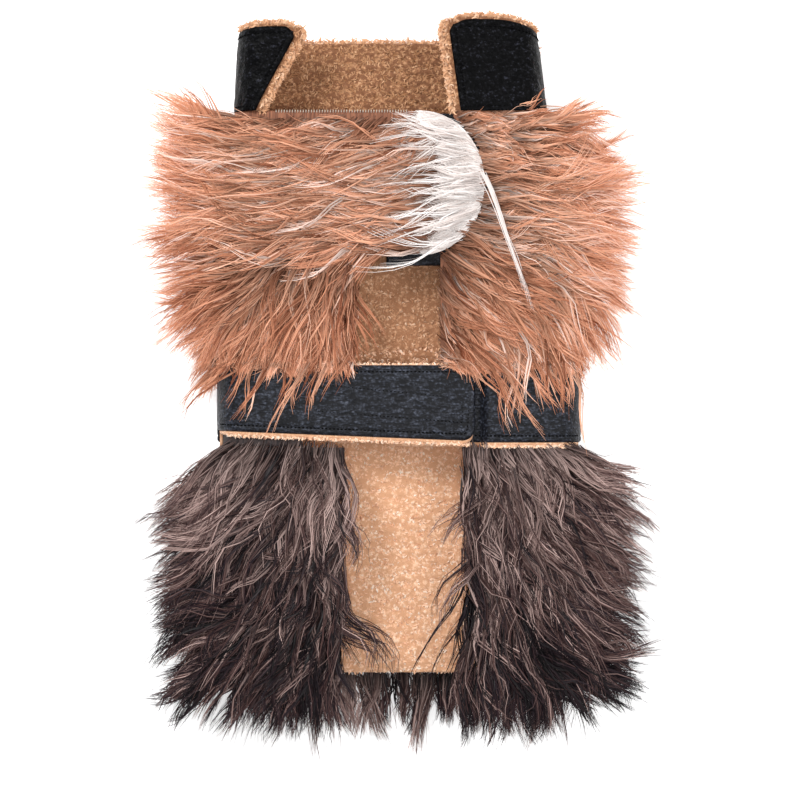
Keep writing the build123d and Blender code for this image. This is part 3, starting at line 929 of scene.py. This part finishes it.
def into_tresses(roots, lines, per_tress, pull, rng):
    """Draws each lock towards the nearest leading lock, by pull of the gap at its tip. Returns
    the new lines and each lock's leader."""
    leaders = rng.choice(len(roots), max(1, len(roots) // per_tress), replace=False)
    gap = np.linalg.norm(roots[:, None, :] - roots[None, leaders, :], axis=-1)
    lead = leaders[np.argmin(gap, axis=1)]
    share = pull * smoothstep(0.05, 0.8, np.linspace(0, 1, lines.shape[1]))[None, :, None]
    target = (roots[lead] - roots)[:, None, :] + lines[lead]
    return lines + share * (target - lines) * np.array([1.0, 1.0, 0.4]), lead


def hairs_from_locks(roots, lines, per_lock, spread, gather, rng):
    """Hairs round each lock's line: their distance from it shrinks from spread at the root to
    a share gather of it, and each is a little shorter or longer than its lock."""
    lock = np.repeat(np.arange(len(roots)), per_lock)
    count = len(lock)
    t = np.linspace(0, 1, lines.shape[1])[None, :, None]
    reach = rng.uniform(0.7, 1.06, count)[:, None, None]
    side = rng.normal(0, 1, (count, 1, 3)) * np.array([1.0, 1.0, 0.45])
    near = gather + (1 - gather) * (1 - smoothstep(0.0, 0.6, t))
    stray = rng.normal(0, 1, (count, 1, 3)) * np.array([1.0, 1.0, 0.5])
    loose = (rng.random(count) < 0.1)[:, None, None] * 5.0 + 0.5
    hair = roots[lock][:, None, :] + lines[lock] * reach
    hair = hair + side * spread * near + stray * loose * t**2
    hair[:, 0] -= side[:, 0] * np.array([0, 0, 1.0]) * spread
    return hair, lock


def hair_mesh(name, hair, tone, width, rng, material):
    """Hairs as ribbons: each point is set off to both sides, square to the hair's run, and
    the ribbon tapers to its tip. u is the hair's tone and v runs from root to tip."""
    count, points = hair.shape[:2]
    run = np.gradient(hair, axis=1)
    run /= np.linalg.norm(run, axis=-1, keepdims=True) + 1e-9
    across = np.cross(run, np.array([0, 0, 1.0]))
    across /= np.linalg.norm(across, axis=-1, keepdims=True) + 1e-9
    roll = rng.normal(0, 0.55, count)[:, None, None]
    across = across * np.cos(roll) + np.cross(run, across) * np.sin(roll)
    t = np.linspace(0, 1, points)[None, :, None]
    half = 0.5 * width[:, None, None] * (1 - 0.8 * t**2.5)
    both = np.stack([hair + across * half, hair - across * half], axis=2).reshape(-1, 3)
    base = np.arange(count)[:, None] * points * 2 + np.arange(points - 1)[None, :] * 2
    faces = np.stack([base, base + 2, base + 3, base + 1], -1).reshape(-1, 4)
    u = np.repeat(tone[:, None], points * 2, 1).reshape(-1)
    edge = np.tile([-0.004, 0.004], count * points)
    v = np.repeat(np.broadcast_to(t[..., 0], (count, points)), 2, axis=1).reshape(-1)
    uv = np.stack([np.clip(u + edge, 0.01, 0.99), 0.01 + 0.98 * v], -1)
    piece = put_mesh(name, both, faces, uv)
    piece.data.materials.append(material)
    return piece


MOST_TRIANGLES = 190_000
LONG_HAIR, FINE_HAIR = (0.44, 0.78), (0.36, 0.6)


def hair_pieces(name, hair, tone, width, rng, material, body, nodes=(), squash=None):
    """Hair split into pieces of under 200,000 triangles that ride on one body. The CAD nodes are
    hidden, and each piece gets a mesh of its own if a squash is given."""
    parts = math.ceil(len(hair) * 2 * (hair.shape[1] - 1) / MOST_TRIANGLES)
    for k, rows in enumerate(np.array_split(np.arange(len(hair)), parts)):
        label = name if parts == 1 else f"{name}_{k + 1}"
        piece = hair_mesh(label, hair[rows], tone[rows], width[rows], rng, material)
        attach(piece, body)
        if squash:
            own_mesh(piece)
    if nodes:
        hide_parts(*nodes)
    print(name, len(hair), "hairs in", parts, "pieces")


def grow(roots, normals, heading, length, rng, lift=(0.15, 0.8), bend=0.0, curl=0.2,
         droop=0.05, per_lock=8, spread=1.7, gather=0.13, tress=(5, 0.66)):
    """Locks on these roots, drawn into tresses, and the hairs on them. Returns the hairs,
    each one's lock, and each lock's leader."""
    count = len(roots)
    lines = lock_lines(roots, normals, heading + rng.normal(0, 0.12, count),
                       length * rng.uniform(0.7, 1.12, count), rng.uniform(*lift, count),
                       bend + rng.normal(0, 0.3, count), curl * rng.uniform(0.3, 1.7, count),
                       rng.uniform(0.6, 1.4, count), droop + rng.normal(0, 0.03, count), rng)
    lines, lead = into_tresses(roots, lines, *tress, rng)
    hair, lock = hairs_from_locks(roots, lines, per_lock, spread, gather, rng)
    return hair, lock, lead


def tones_of(lock, lead, base, rng, tress_spread=0.1, lock_spread=0.09, hair_spread=0.12):
    """A tone for each hair: its tress's and its lock's, with a little of its own."""
    own = base + rng.normal(0, tress_spread, len(base))[lead] + rng.normal(0, lock_spread, len(base))
    return np.clip(own[lock] + rng.normal(0, hair_spread, len(lock)), 0.02, 0.98)


OVER_FLOOR, FRONT_FROM, FOLD_FUR_TOP = 0.8, 13, 45.0


def tube_roots(side, y_low, y_high, s_low, s_high, gap, rng, top=True):
    """Root places on a jittered grid over s and y, with their outward normals."""
    s, y = np.meshgrid(np.arange(s_low, s_high, gap), np.arange(y_low, y_high, gap), indexing="ij")
    s = (s + rng.uniform(-0.5, 0.5, s.shape) * gap).ravel()
    y = np.clip((y + rng.uniform(-0.5, 0.5, y.shape) * gap).ravel(), y_low, y_high)
    return on_tube(side, top, s, y, HIDE_R), tube_normal(side, top, s)


TALLEST = 65.0


def kept_above(hair, height):
    """Keeps hair from sinking below a height, or rising over the tallest locks."""
    hair[..., 2] = np.clip(hair[..., 2], height, TALLEST)
    return hair


# %% [markdown]
# The flap and the left chest flow out to the wearer's side: straight out across the flap, up
# at the shoulder, and down towards the belt below it. The pile is clipped short along the
# neck seam, and the belt's own edge shows through the last tips. Headings are degrees,
# counted anticlockwise from +X, which is the wearer's right.

# %% Camel fur of the left chest
LOCK_GAP = 3.5
FRONT_FLOOR = 40.5
BELT_CLEAR = FOLD_Z + BELT_OUT + 1.5


def left_heading(x, y):
    """Comb direction of the left chest, in degrees."""
    out = smoothstep(-70, -122, x)
    seam = smoothstep(150, 190, y)
    belly = smoothstep(135, 98, y)
    flap = 180 + 24 * seam * (1 - out) - 20 * out * smoothstep(110, 190, y) + (5 + 16 * out) * belly
    away = np.clip((CHEST_LEFT_X - x) / 93, 0, 1.2)
    low = 268 - away * (28 + 30 * smoothstep(40, 85, y))
    below = smoothstep(FLAP_LOW + 1, FLAP_LOW - 3, y)
    return flap * (1 - below) + low * below


def chest_length(y, heading, rng):
    """Long everywhere, but combed so that no tip falls far past the belt's top edge."""
    down = np.maximum(-np.sin(heading), 0.05)
    edge = BELT_TOP - 5 + rng.normal(0, 3.5, len(y))
    return np.minimum(78, np.maximum((y - edge) / down, 13.0))


def with_wisps(hair, lock, roots, normals, heading, rng, share):
    """Adds thin, long locks that hang over the belt, on a share of the roots just above it."""
    low = np.flatnonzero((roots[:, 1] < 48) & (rng.random(len(roots)) < share))
    length = rng.uniform(36, 62, len(low)) + 0.5 * (roots[low, 1] - CHEST_Y)
    more, own, _ = grow(roots[low], normals[low], heading[low], length, rng, lift=(0.3, 0.9),
                        per_lock=6, spread=0.9, gather=0.25, tress=(2, 0.8))
    return np.concatenate([hair, more]), np.concatenate([lock, low[own]])


def above_belt(hair):
    """Keeps chest hair on top of the front, and over the belt where it reaches that."""
    over = smoothstep(BELT_TOP + 12, BELT_TOP + 1, hair[..., 1])
    return kept_above(hair, FRONT_FLOOR + (BELT_CLEAR - FRONT_FLOOR) * over)


rng = np.random.default_rng(11)
roots, normals = tube_roots(LEFT, CHEST_Y, NECK_Y - 1, FRONT_FROM, 165, LOCK_GAP, rng)
x, y = roots[:, 0], roots[:, 1]
keep = np.where(y > FLAP_LOW, (x < 34) & in_flap(x, y, -5), x < CHEST_LEFT_X)
roots, normals, x, y = roots[keep], normals[keep], x[keep], y[keep]
heading = np.radians(left_heading(x, y) + 9 * waves(x, y, 60, 5) + 9 * waves(x, y, 15, 6))
seam_edge = smoothstep(168, 194, y) * smoothstep(-112, -92, x)
length = chest_length(y, heading, rng) - 40 * seam_edge
hair, lock, lead = grow(roots, normals, heading, length, rng, curl=0.3, droop=0.05)
hair, lock = with_wisps(hair, lock, roots, normals, heading, rng, 0.13)
hair = above_belt(hair)
under_seam = smoothstep(NECK_Y - 14, NECK_Y - 2, hair[..., 1]) * smoothstep(-112, -92, hair[..., 0])
hair[..., 1] = hair[..., 1] - under_seam * np.maximum(hair[..., 1] - (NECK_Y - 1), 0)
base = 0.56 + 0.1 * waves(x, y, 50, 9) - 0.14 * seam_edge - 0.16 * smoothstep(100, 80, y)
tone = tones_of(lock, lead, base, rng, 0.12, 0.12)
width = rng.uniform(*LONG_HAIR, len(hair))
hair_pieces("camel_fur_left", hair, tone, width, rng, camel_fur, "chest_left")

# %% [markdown]
# The right chest is combed the other way: out to the side above, and down to the belt below.
# At its inner edge the pile sweeps inwards first, and beside the collar it is short and plush.

# %% Camel fur of the right chest


def right_heading(x, y):
    """Comb direction of the right chest, in degrees."""
    away = np.clip((x - CHEST_RIGHT_X) / 95, 0, 1)
    low = smoothstep(108, 48, y)
    high = -4 - 12 * smoothstep(150, 105, y) + 12 * smoothstep(170, 196, y)
    return high * (1 - low) + (-46 - 38 * away) * low


rng = np.random.default_rng(12)
roots, normals = tube_roots(RIGHT, CHEST_Y, NECK_Y - 1, FRONT_FROM, 120, LOCK_GAP, rng)
x, y = roots[:, 0], roots[:, 1]
keep = (x > CHEST_RIGHT_X + 10 * smoothstep(176, 186, y)) & ~in_flap(x, y, -8 * (y < 170))
roots, normals, x, y = roots[keep], normals[keep], x[keep], y[keep]
inner = smoothstep(85, 40, x)
heading = right_heading(x, y) + 9 * waves(x, y, 60, 7) + 9 * waves(x, y, 15, 8)
sweep = inner * smoothstep(42, 58, y) * smoothstep(112, 92, y)
plush = smoothstep(146, 164, y) * smoothstep(116, 84, x)
heading = np.radians(heading - 34 * sweep)
length = chest_length(y, heading, rng) - 50 * plush
hair, lock, lead = grow(roots, normals, heading, length, rng, curl=0.3, bend=0.9 * sweep,
                        droop=0.05)
hair, lock = with_wisps(hair, lock, roots, normals, heading, rng, 0.2)
hair = above_belt(hair)
base = 0.56 + 0.1 * waves(x, y, 50, 10) + 0.04 * plush - 0.14 * smoothstep(110, 80, y)
tone = tones_of(lock, lead, base, rng, 0.12, 0.12)
width = rng.uniform(*LONG_HAIR, len(hair))
hair_pieces("camel_fur_right", hair, tone, width, rng, camel_fur, "chest_right")

# %% [markdown]
# The flap's tip is trimmed with white pile. It starts on the rim, turns round it at the top
# and the bottom, and lies back over the camel, where a few long locks stream through it.
# One thin lock has come loose and lies across the right chest.

# %% White rim of the flap
rng = np.random.default_rng(13)


def rim_roots(count, low, high, depth):
    """Roots on the flap's rim, at angles from its centre, set inwards by up to depth."""
    around = rng.uniform(low, high, count)
    inward = 1 - depth * rng.random(count) ** 1.4
    rx = FLAP_CENTRE_X + FLAP_REACH * np.cos(around) * inward
    ry = FLAP_MID_Y + FLAP_HALF * np.sin(around) * inward
    return np.stack([rx, ry, np.full(count, FOLD_Z + HIDE_R + 2.0)], -1), around


RIM, STREAMERS = 1500, 40
white_roots, around = rim_roots(RIM, -1.45, 1.5, 0.36)
turn = np.sin(2 * around)
streamers, stream_around = rim_roots(STREAMERS, -0.9, 1.1, 0.25)
roots = np.concatenate([white_roots, streamers])
heading = np.radians(np.concatenate([180 - 40 * turn, 191 - 22 * stream_around]))
length = np.concatenate([rng.uniform(10, 28, RIM), rng.uniform(45, 88, STREAMERS)])
length[:RIM] *= 1 - 0.7 * smoothstep(0.8, 1.35, np.abs(around))
bend = np.concatenate([0.9 * turn, 0.35 * stream_around])
normals = np.tile([0.0, 0.0, 1.0], (len(roots), 1))
hair, lock, lead = grow(roots, normals, heading, length, rng, lift=(0.1, 0.5), bend=bend,
                        curl=0.25, spread=1.5, gather=0.25, tress=(7, 0.3))
hair = kept_above(hair, FOLD_Z + HIDE_R + 3.0)
up = (hair[..., 1] - FLAP_MID_Y) / FLAP_HALF
over = np.maximum(hair[..., 0] - FLAP_CENTRE_X, 0) / FLAP_REACH
past = np.maximum(np.hypot(over, up) / (0.97 + 0.03 * rng.random(len(hair))[:, None]), 1)
past = np.where((lock < RIM)[:, None], past, 1)
hair[..., 1] = FLAP_MID_Y + (hair[..., 1] - FLAP_MID_Y) / past
hair[..., 0] = np.where(over > 0, FLAP_CENTRE_X + (hair[..., 0] - FLAP_CENTRE_X) / past, hair[..., 0])
raised = (lock >= RIM)[:, None] * smoothstep(0, 0.4, np.linspace(0, 1, SEGMENTS + 1))
hair[..., 2] += 7.0 * raised
hair[..., 1] = np.minimum(hair[..., 1], NECK_Y + 1.0 * rng.random(len(hair))[:, None])
stray = np.array([[58.0, 152.0, FOLD_Z + HIDE_R + 13.0]])
one = np.ones(1)
line = lock_lines(stray, normals[:1], -1.12 * one, 98 * one, 0.05 * one, -0.25 * one, 0.1 * one,
                  one, 0.03 * one, rng)
loose, own = hairs_from_locks(stray, line, 24, 1.1, 0.35, rng)
hair, lock = np.concatenate([hair, kept_above(loose, FRONT_FLOOR)]), np.concatenate([lock, own])
tone = tones_of(lock, lead, np.full(len(roots), 0.62), rng)
width = rng.uniform(*FINE_HAIR, len(hair))
hair_pieces("white_fur_flap", hair, tone, width, rng, white_fur, "chest_left",
            ["flap_tip_fur"])

# %% [markdown]
# The skirt's brown pile is the longest. It is taupe below the belt and turns to a dark plum
# at the hem, and it hangs down at the front edges and fans out to the sides.

# %% Brown fur of the skirt


def skirt_heading(side, x):
    """Comb direction of a skirt side, in degrees: down at its front edge, and then out."""
    edge = SKIRT_LEFT_X if side == LEFT else SKIRT_RIGHT_X
    away = np.clip((x - edge) / (side * WAIST_X - edge), 0, 1.1)
    return -90 + side * (57 * away - 6 * (1 - away) ** 6)


def brown_tone(y):
    """Taupe at the top, dark at the hem."""
    return 0.74 - 0.5 * np.clip((SKIRT_Y - y) / (SKIRT_Y - HEM_Y), 0, 1) ** 0.7


SKIRTS = ((LEFT, "skirt_left", 21, SKIRT_LEFT_X), (RIGHT, "skirt_right", 22, SKIRT_RIGHT_X))
for side, body, seed, inner_x in SKIRTS:
    rng = np.random.default_rng(seed)
    roots, normals = tube_roots(side, HEM_Y + 1, SKIRT_Y + 4, FRONT_FROM, 118, LOCK_GAP, rng)
    x, y = roots[:, 0], roots[:, 1]
    keep = side * x > side * inner_x + 2
    roots, normals, x, y = roots[keep], normals[keep], x[keep], y[keep]
    heading = skirt_heading(side, x) + 10 * waves(x, y, 60, seed) + 10 * waves(x, y, 15, seed + 5)
    length = 74 - 12 * smoothstep(HEM_Y + 40, HEM_Y, y)
    hair, lock, lead = grow(roots, normals, np.radians(heading), length, rng, curl=0.42,
                            droop=0.05, tress=(7, 0.72))
    hair = kept_above(hair, FRONT_FLOOR)
    tone = tones_of(lock, lead, brown_tone(y), rng, 0.13, 0.14, 0.16)
    width = rng.uniform(*LONG_HAIR, len(hair))
    hair_pieces(f"brown_fur_{body}", hair, tone, width, rng, brown_fur, body,
                [f"{body}_fringe"])

# %% [markdown]
# The pile that grows round the folds belongs to the back. It sticks out sideways and falls to
# the floor.

# %% Fur round the folds and along the hem


def fold_fur(name, side, y_low, y_high, comb, length, seed, material, joint, node_name, base):
    """Fur rooted round a fold line, from under the back to where the front's own fur starts."""
    rng = np.random.default_rng(seed)
    found = [tube_roots(side, y_low, y_high, s0, s1, 4.0, rng, top)
             for top, s0, s1 in ((True, 0, FRONT_FROM), (False, 1, 26))]
    roots = np.concatenate([f[0] for f in found])
    normals = np.concatenate([f[1] for f in found])
    x, y = roots[:, 0], roots[:, 1]
    heading = np.radians(comb(x, y) + 9 * waves(y, roots[:, 2], 25, seed))
    hair, lock, lead = grow(roots, normals, heading, length(y), rng, lift=(0.0, 0.3),
                            curl=0.3, droop=0.55)
    hair = kept_above(hair, OVER_FLOOR)
    hair[..., 2] = np.minimum(hair[..., 2], FOLD_FUR_TOP)
    tone = tones_of(lock, lead, base(y), rng)
    width = rng.uniform(0.48, 0.8, len(hair))
    hair_pieces(name, hair, tone, width, rng, material, "body_back", [node_name], joint)


def side_length(y):
    """Fold fur is long beside the flap and the skirt, and shorter beside the belt."""
    return 65 - 26 * smoothstep(75, 45, y) * smoothstep(SKIRT_Y, CHEST_Y, y)


FOLDS = (
    ("chest_left", LEFT, CHEST_Y + 6, NECK_Y - 4, left_heading, camel_fur, lambda y: 0.5 + 0 * y),
    ("chest_right", RIGHT, CHEST_Y + 6, NECK_Y - 4, right_heading, camel_fur, lambda y: 0.5 + 0 * y),
    ("skirt_left", LEFT, HEM_Y + 1, SKIRT_Y, lambda x, y: skirt_heading(LEFT, x), brown_fur, brown_tone),
    ("skirt_right", RIGHT, HEM_Y + 1, SKIRT_Y, lambda x, y: skirt_heading(RIGHT, x), brown_fur, brown_tone),
)
for k, (body, side, y_low, y_high, comb, material, base) in enumerate(FOLDS):
    fold_fur(f"fold_fur_{body}", side, y_low, y_high, comb, side_length, 31 + k, material,
             f"{body}_fold", f"{body}_side_fur", base)

rng = np.random.default_rng(41)
count = 430
roots = np.stack([rng.uniform(-WAIST_X + 8, WAIST_X - 8, count), HEM_Y - rng.uniform(0, 3, count),
                  rng.uniform(2, 11.5, count)], -1)
normals = np.tile([0.0, -1.0, 0.0], (count, 1))
heading = np.radians(270 + 12 * waves(roots[:, 0], roots[:, 2], 30, 42))
hair, lock, lead = grow(roots, normals, heading, rng.uniform(38, 62, count), rng, lift=(0, 0.2),
                        curl=0.26, droop=0.12, tress=(8, 0.72))
hair = kept_above(hair, OVER_FLOOR)
tone = tones_of(lock, lead, np.full(count, 0.42), rng, 0.14, 0.12, 0.14)
width = rng.uniform(*FINE_HAIR, len(hair))
hair_pieces("brown_fur_hem", hair, tone, width, rng, brown_fur, "body_back",
            ["back_fringe"])

# %% [markdown]
# Sherpa is a short knitted pile brushed into curls. The linings are bumpy sheets, and on
# what shows at rest there are real curls as well: short, wide tufts that start upright and
# turn over in every direction, and a fringe of them along the leather's edges.

# %% Sherpa curls


def curls(name, roots, normals, size, seed, material, body, comb=None, wide=(0.9, 1.8), stand=0.9):
    """Short tufts of pile, each one ribbon with four segments that curls over."""
    rng = np.random.default_rng(seed)
    count = len(roots)
    heading = rng.uniform(0, TAU, count) if comb is None else comb + rng.normal(0, 0.7, count)
    turn = rng.choice([-1.0, 1.0], count)
    lines = lock_lines(roots, normals, heading, size * rng.uniform(0.6, 1.3, count),
                       stand * rng.uniform(0.5, 1.4, count), turn * rng.uniform(1.0, 2.6, count),
                       rng.uniform(0, 0.4, count), np.ones(count), rng.uniform(-0.1, 0.5, count),
                       rng, segments=4)
    hair = roots[:, None, :] + lines
    tone = np.clip(rng.normal(0.5, 0.22, count), 0.02, 0.98)
    width = rng.uniform(*wide, count)
    hair_pieces(name, hair, tone, width, rng, material, body)


def flat_roots(x0, x1, y0, y1, z, gap, seed):
    """Jittered roots on a flat stretch of lining, and their normals."""
    rng = np.random.default_rng(seed)
    x, y = np.meshgrid(np.arange(x0, x1, gap), np.arange(y0, y1, gap), indexing="ij")
    x = (x + rng.uniform(-0.6, 0.6, x.shape) * gap).ravel()
    y = np.clip((y + rng.uniform(-0.6, 0.6, y.shape) * gap).ravel(), y0, y1)
    return np.stack([x, y, np.full_like(x, z)], -1), np.tile([0.0, 0.0, 1.0], (x.size, 1))


LINING_TOP = FOLD_Z - LINING_IN_R
curls("back_lower_curls", *flat_roots(-60, 66, HEM_Y + 1, CHEST_Y + 12, LINING_TOP - 0.5, 1.7, 61),
      3.0, 62, sherpa_pile, "body_back")
# The upper back's curls are half darkened: painted shade.
curls("back_upper_curls", *flat_roots(-54, 54, CHEST_Y + 12, 112, LINING_TOP - 0.5, 1.7, 63),
      3.0, 64, sherpa_half_shade_pile, "body_back")
roots, normals = flat_roots(-99, 99, 168, COLLAR_TOP + 2, FOLD_Z - COLLAR_IN - 0.5, 1.45, 65)
comb = -np.pi / 2 + 1.3 * waves(roots[:, 0], roots[:, 1], 16, 67)
# The collar's back curls take the darker curl copy: painted shade.
curls("collar_back_curls", roots, normals, 4.2, 66, sherpa_shade_pile, "body_back", comb, (0.6, 1.3))

roots, normals = flat_roots(-96, 96, COLLAR_TOP, COLLAR_TOP + 2.5, FOLD_Z - COLLAR_IN - 3, 0.9, 68)
roots[:, 2] -= 3.0 * np.random.default_rng(69).random(len(roots))
# The collar's top fuzz is half darkened: painted shade.
curls("collar_back_fuzz", roots, normals, 5.5, 70, sherpa_half_shade_pile, "body_back", np.pi / 2,
      (0.9, 1.9), 0.5)


def edge_roots(side, s, y, r, count, deep, seed, bend_r=None):
    """Roots along a path on the section, at radii from r down to r - deep."""
    rng = np.random.default_rng(seed)
    at = rng.uniform(0, len(s) - 1, count)
    k = np.arange(len(s))
    s_at, y_at = np.interp(at, k, s), np.interp(at, k, y)
    return on_tube(side, True, s_at, y_at, r - deep * rng.random(count), bend_r), at / (len(s) - 1)


for k, word in enumerate(COLLAR_ENDS):
    side = COLLAR_ENDS[word][0]
    t = np.linspace(0.0, 1.0, 120)
    for j, (u_at, v_at, beyond, heading, size, count) in enumerate((
        (0 * t + 1, t, 4.5, 0.0 if side == LEFT else math.pi, 4.5, 620),
        (0 * t + 1, t, 2.0, 0.0 if side == LEFT else math.pi, 4.5, 620),
        (t, 0 * t + 1, 2.0, math.pi / 2, 5.0, 620),
    )):
        s_at, y_at = collar_outline(word, u_at, v_at, beyond)
        roots, _ = edge_roots(side, s_at, y_at, COLLAR_MID - 0.2, count, 4.0, 70 + k * 5 + j, COLLAR_R)
        normals = np.tile([0.0, 0.0, 1.0], (count, 1))
        # The collar ends' fuzz is half darkened: painted shade.
        curls(f"collar_{word}_fuzz_{j + 1}", roots, normals, size, 80 + k * 5 + j, sherpa_half_shade_pile,
              f"chest_{word}", heading, (0.9, 1.8), 0.7)

BELT_EDGES = (
    ("belt_left_fuzz", "belt_left", LEFT, left_low, LEFT_END - 3, -2.0, -math.pi / 2),
    ("belt_right_fuzz", "belt_right", RIGHT, level(BELT_LOW_RIGHT), LEFT_END + 6, -2.0, -math.pi / 2),
    ("belt_left_top_fuzz", "belt_left", LEFT, level(BELT_TOP), LEFT_END - 3, -0.5, math.pi / 2),
)
for k, (name, body, side, edge, end_x, beyond, heading) in enumerate(BELT_EDGES):
    x = np.linspace(side * (WAIST_X - 4), end_x, 160)
    s_at = section_length(side, 0 * x, x)
    roots, _ = edge_roots(side, s_at, edge(x) + beyond, BELT_MID, 700, 2.0, 90 + k)
    curls(name, roots, np.tile([0.0, 0.0, 1.0], (700, 1)), 2.6, 95 + k, sherpa_pile, body, heading,
          (0.7, 1.4), 0.4)

# %% [markdown]
# Each lining and backing is a cloth cut flat and sewn in. Its cut size is kept as its width
# along the section, length from hem to collar, and the area of its outline, and the width and
# length are printed.

# %% Cloths
for name, (width, length, area) in CUTS.items():
    if "sherpa" not in name and "backing" not in name:
        continue
    under = name.replace("sherpa", "backing")
    under = under if under != name and under in bpy.data.objects else "body_back"
    print(name, "cut", round(width, 3), "x", round(length, 3), "m")

# %% [markdown]
# The floor is a plain white sweep, lit softly from all round, and the camera looks straight
# down through a long lens.

# %% Floor, light and camera
floor_mesh = bpy.data.meshes.new("floor")
floor_mesh.from_pydata([(-4, -4, 0), (4, -4, 0), (4, 4, 0), (-4, 4, 0)], [], [(0, 1, 2, 3)])
floor = bpy.data.objects.new("floor", floor_mesh)
bpy.context.scene.collection.objects.link(floor)
paper, tree = new_material("white paper sweep")
shader = node(
    tree,
    "BsdfPrincipled",
    {"Base Color": linear("#ffffff"), "Roughness": 0.9, "Emission Color": linear("#ffffff"),
     "Emission Strength": 0.45},
)
finish_material(tree, shader)
floor.data.materials.append(paper)

world = bpy.data.worlds.new("soft box")
bpy.context.scene.world = world
world.use_nodes = True
world.node_tree.nodes["Background"].inputs["Color"].default_value = linear("#ffffff")
world.node_tree.nodes["Background"].inputs["Strength"].default_value = 0.42


def lamp(name, place, size, power):
    """A square area light that faces the coat."""
    light = bpy.data.lights.new(name, "AREA")
    light.size = size
    light.energy = power
    made = bpy.data.objects.new(name, light)
    made.location = place
    made.rotation_euler = (Vector((0, 0, 0)) - Vector(place)).to_track_quat("-Z", "Y").to_euler()
    bpy.context.scene.collection.objects.link(made)


lamp("key softbox", (-1.2, 1.5, 1.7), 0.8, 50)
lamp("fill softbox", (1.5, 0.4, 1.6), 1.2, 20)
lamp("top softbox", (0.0, -0.2, 2.9), 0.6, 22)

FRAME_WIDTH, TOP_Z, CAMERA_Z = 0.555, 0.045, 2.5
camera = bpy.data.cameras.new("camera")
camera.sensor_width = 36
camera.lens = 36 * (CAMERA_Z - TOP_Z) / FRAME_WIDTH
eye = bpy.data.objects.new("camera", camera)
eye.location = (-0.0018, -0.0039, CAMERA_Z)
bpy.context.scene.collection.objects.link(eye)
bpy.context.scene.camera = eye
bpy.context.scene.view_settings.view_transform = "Standard"
